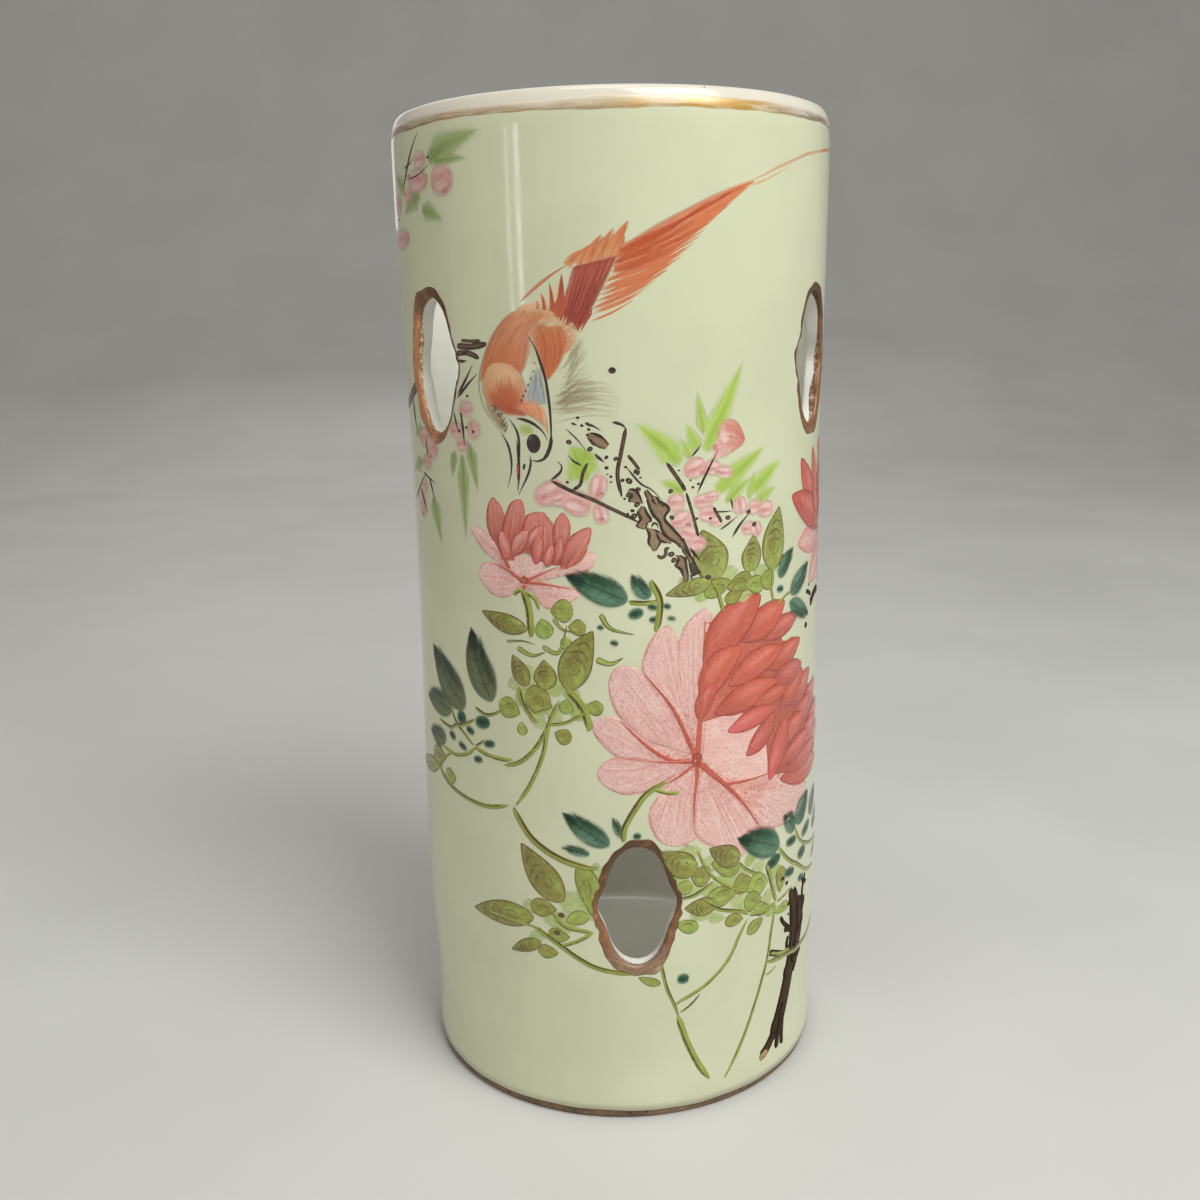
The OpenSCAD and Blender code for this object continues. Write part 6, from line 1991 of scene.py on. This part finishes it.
class HATSTAND_OT_stage(bpy.types.Operator):
    """Sets the floor, the light and the camera"""
    bl_idname = "hat_stand.stage"
    bl_label = "Set the stage"

    # The camera stands a little left of the front opening and looks slightly down
    AROUND = -4.0
    DISTANCE = 0.37834
    HEIGHT = 0.23083
    PITCH = 0.230751
    YAW = -0.014555
    ROLL = -0.019685
    LENS = 36.995

    def execute(self, context):
        self.floor(context.scene)
        self.light(context.scene)
        self.camera(context.scene)
        context.scene.view_settings.view_transform = "Standard"
        return {"FINISHED"}

    def floor(self, scene):
        deselect()
        bpy.ops.mesh.primitive_plane_add(size=5)
        floor = bpy.context.object
        floor.name = "stage_floor"
        bpy.ops.object.mode_set(mode="EDIT")
        bpy.ops.mesh.select_all(action="DESELECT")
        bpy.ops.object.mode_set(mode="OBJECT")
        for edge in floor.data.edges:
            edge.select = all(floor.data.vertices[v].co.y > 2 for v in edge.vertices)
        bpy.context.tool_settings.mesh_select_mode = (False, True, False)
        bpy.ops.object.mode_set(mode="EDIT")
        bpy.ops.mesh.extrude_region_move(TRANSFORM_OT_translate={"value": (0, 0, 3)})
        bpy.ops.object.mode_set(mode="OBJECT")
        for edge in floor.data.edges:
            ends = [floor.data.vertices[v].co for v in edge.vertices]
            edge.select = all(end.y > 2 and end.z < 1 for end in ends)
        bpy.ops.object.mode_set(mode="EDIT")
        bpy.ops.mesh.bevel(offset=1.2, segments=16, affect="EDGES")
        bpy.ops.object.mode_set(mode="OBJECT")
        bpy.ops.object.shade_smooth()
        make = Finish("pale_floor", scene.hat_stand_colours)
        cloud = make.noise(make.place, 6, 3)
        tone = make.mix(make.span(cloud, 0.3, 0.7), srgb(208, 207, 203), srgb(214, 213, 209))
        make.put(make.shader.inputs["Roughness"], make.span(cloud, 0.3, 0.7, 0.55, 0.65))
        floor.data.materials.append(make.close(tone))

    def light(self, scene):
        world = bpy.data.worlds.new("soft_studio")
        world.use_nodes = True
        world.node_tree.nodes["Background"].inputs["Color"].default_value = (1, 0.985, 0.955, 1)
        world.node_tree.nodes["Background"].inputs["Strength"].default_value = 0.28
        scene.world = world
        lamp("key", 35, 0.95, 1.15, 0.8, 0.8, 15.5, tint=(0.975, 1, 0.99))
        lamp("overhead", -15, 0.3, 1.4, 0.5, 0.5, 2.5)
        lamp("fill", -80, 1.5, 0.6, 0.8, 1.0, 0.9, tint=(1, 0.82, 0.6))
        lamp("rear", 185, 1.5, 0.9, 1.2, 1.2, 3)
        lamp("left_strip", -50, 1.2, 0.3, 0.05, 0.36, 0.3, 0.2)
        lamp("left_strip_thin", -55.5, 1.2, 0.3, 0.03, 0.36, 0.14, 0.2)

    def camera(self, scene):
        data = bpy.data.cameras.new("camera")
        data.sensor_width = 36
        data.lens = self.LENS
        data.clip_start = 0.01
        flat = math.cos(self.PITCH)
        ahead = Vector((math.sin(self.YAW) * flat, math.cos(self.YAW) * flat, -math.sin(self.PITCH)))
        right = Vector((math.cos(self.YAW), -math.sin(self.YAW), 0))
        up = right.cross(ahead)
        right, up = (math.cos(self.ROLL) * right + math.sin(self.ROLL) * up,
                     math.cos(self.ROLL) * up - math.sin(self.ROLL) * right)
        view = Matrix((right, up, -ahead)).transposed().to_4x4()
        round_axis = Matrix.Rotation(math.radians(self.AROUND), 4, "Z")
        place = Matrix.Translation((0, -self.DISTANCE, self.HEIGHT))
        camera = bpy.data.objects.new("camera", data)
        camera.matrix_world = round_axis @ place @ view
        scene.collection.objects.link(camera)
        scene.camera = camera


STEPS = (HATSTAND_OT_clay, HATSTAND_OT_ground, HATSTAND_OT_lining, HATSTAND_OT_gilding, HATSTAND_OT_bird,
         HATSTAND_OT_peonies, HATSTAND_OT_leaves, HATSTAND_OT_blossoms, HATSTAND_OT_branches,
         HATSTAND_OT_stage)


class HATSTAND_PT_panel(bpy.types.Panel):
    """Lists the steps, and the sizes and colours they use"""
    bl_idname = "HATSTAND_PT_panel"
    bl_label = "Hat stand"
    bl_space_type = "VIEW_3D"
    bl_region_type = "UI"
    bl_category = "Hat stand"

    def draw(self, context):
        for step in STEPS:
            self.layout.operator(step.bl_idname)
        for group, kind in ((context.scene.hat_stand_sizes, StandSizes),
                            (context.scene.hat_stand_colours, StandColours)):
            box = self.layout.box()
            for name in kind.__annotations__:
                box.prop(group, name)


CLASSES = (StandSizes, StandColours, *STEPS, HATSTAND_PT_panel)


def register():
    """Makes the steps and the sidebar known to Blender."""
    for item in CLASSES:
        bpy.utils.register_class(item)
    bpy.types.Scene.hat_stand_sizes = PointerProperty(type=StandSizes)
    bpy.types.Scene.hat_stand_colours = PointerProperty(type=StandColours)


def unregister():
    """Takes them away again."""
    del bpy.types.Scene.hat_stand_colours
    del bpy.types.Scene.hat_stand_sizes
    for item in reversed(CLASSES):
        bpy.utils.unregister_class(item)


def main():
    """Builds the stand and its stage."""
    register()
    steps = bpy.ops.hat_stand
    for step in (steps.clay, steps.ground, steps.lining, steps.gilding, steps.bird, steps.peonies,
                 steps.leaves, steps.blossoms, steps.branches, steps.stage):
        step()
    bpy.context.view_layer.update()


if __name__ == "__main__":
    main()
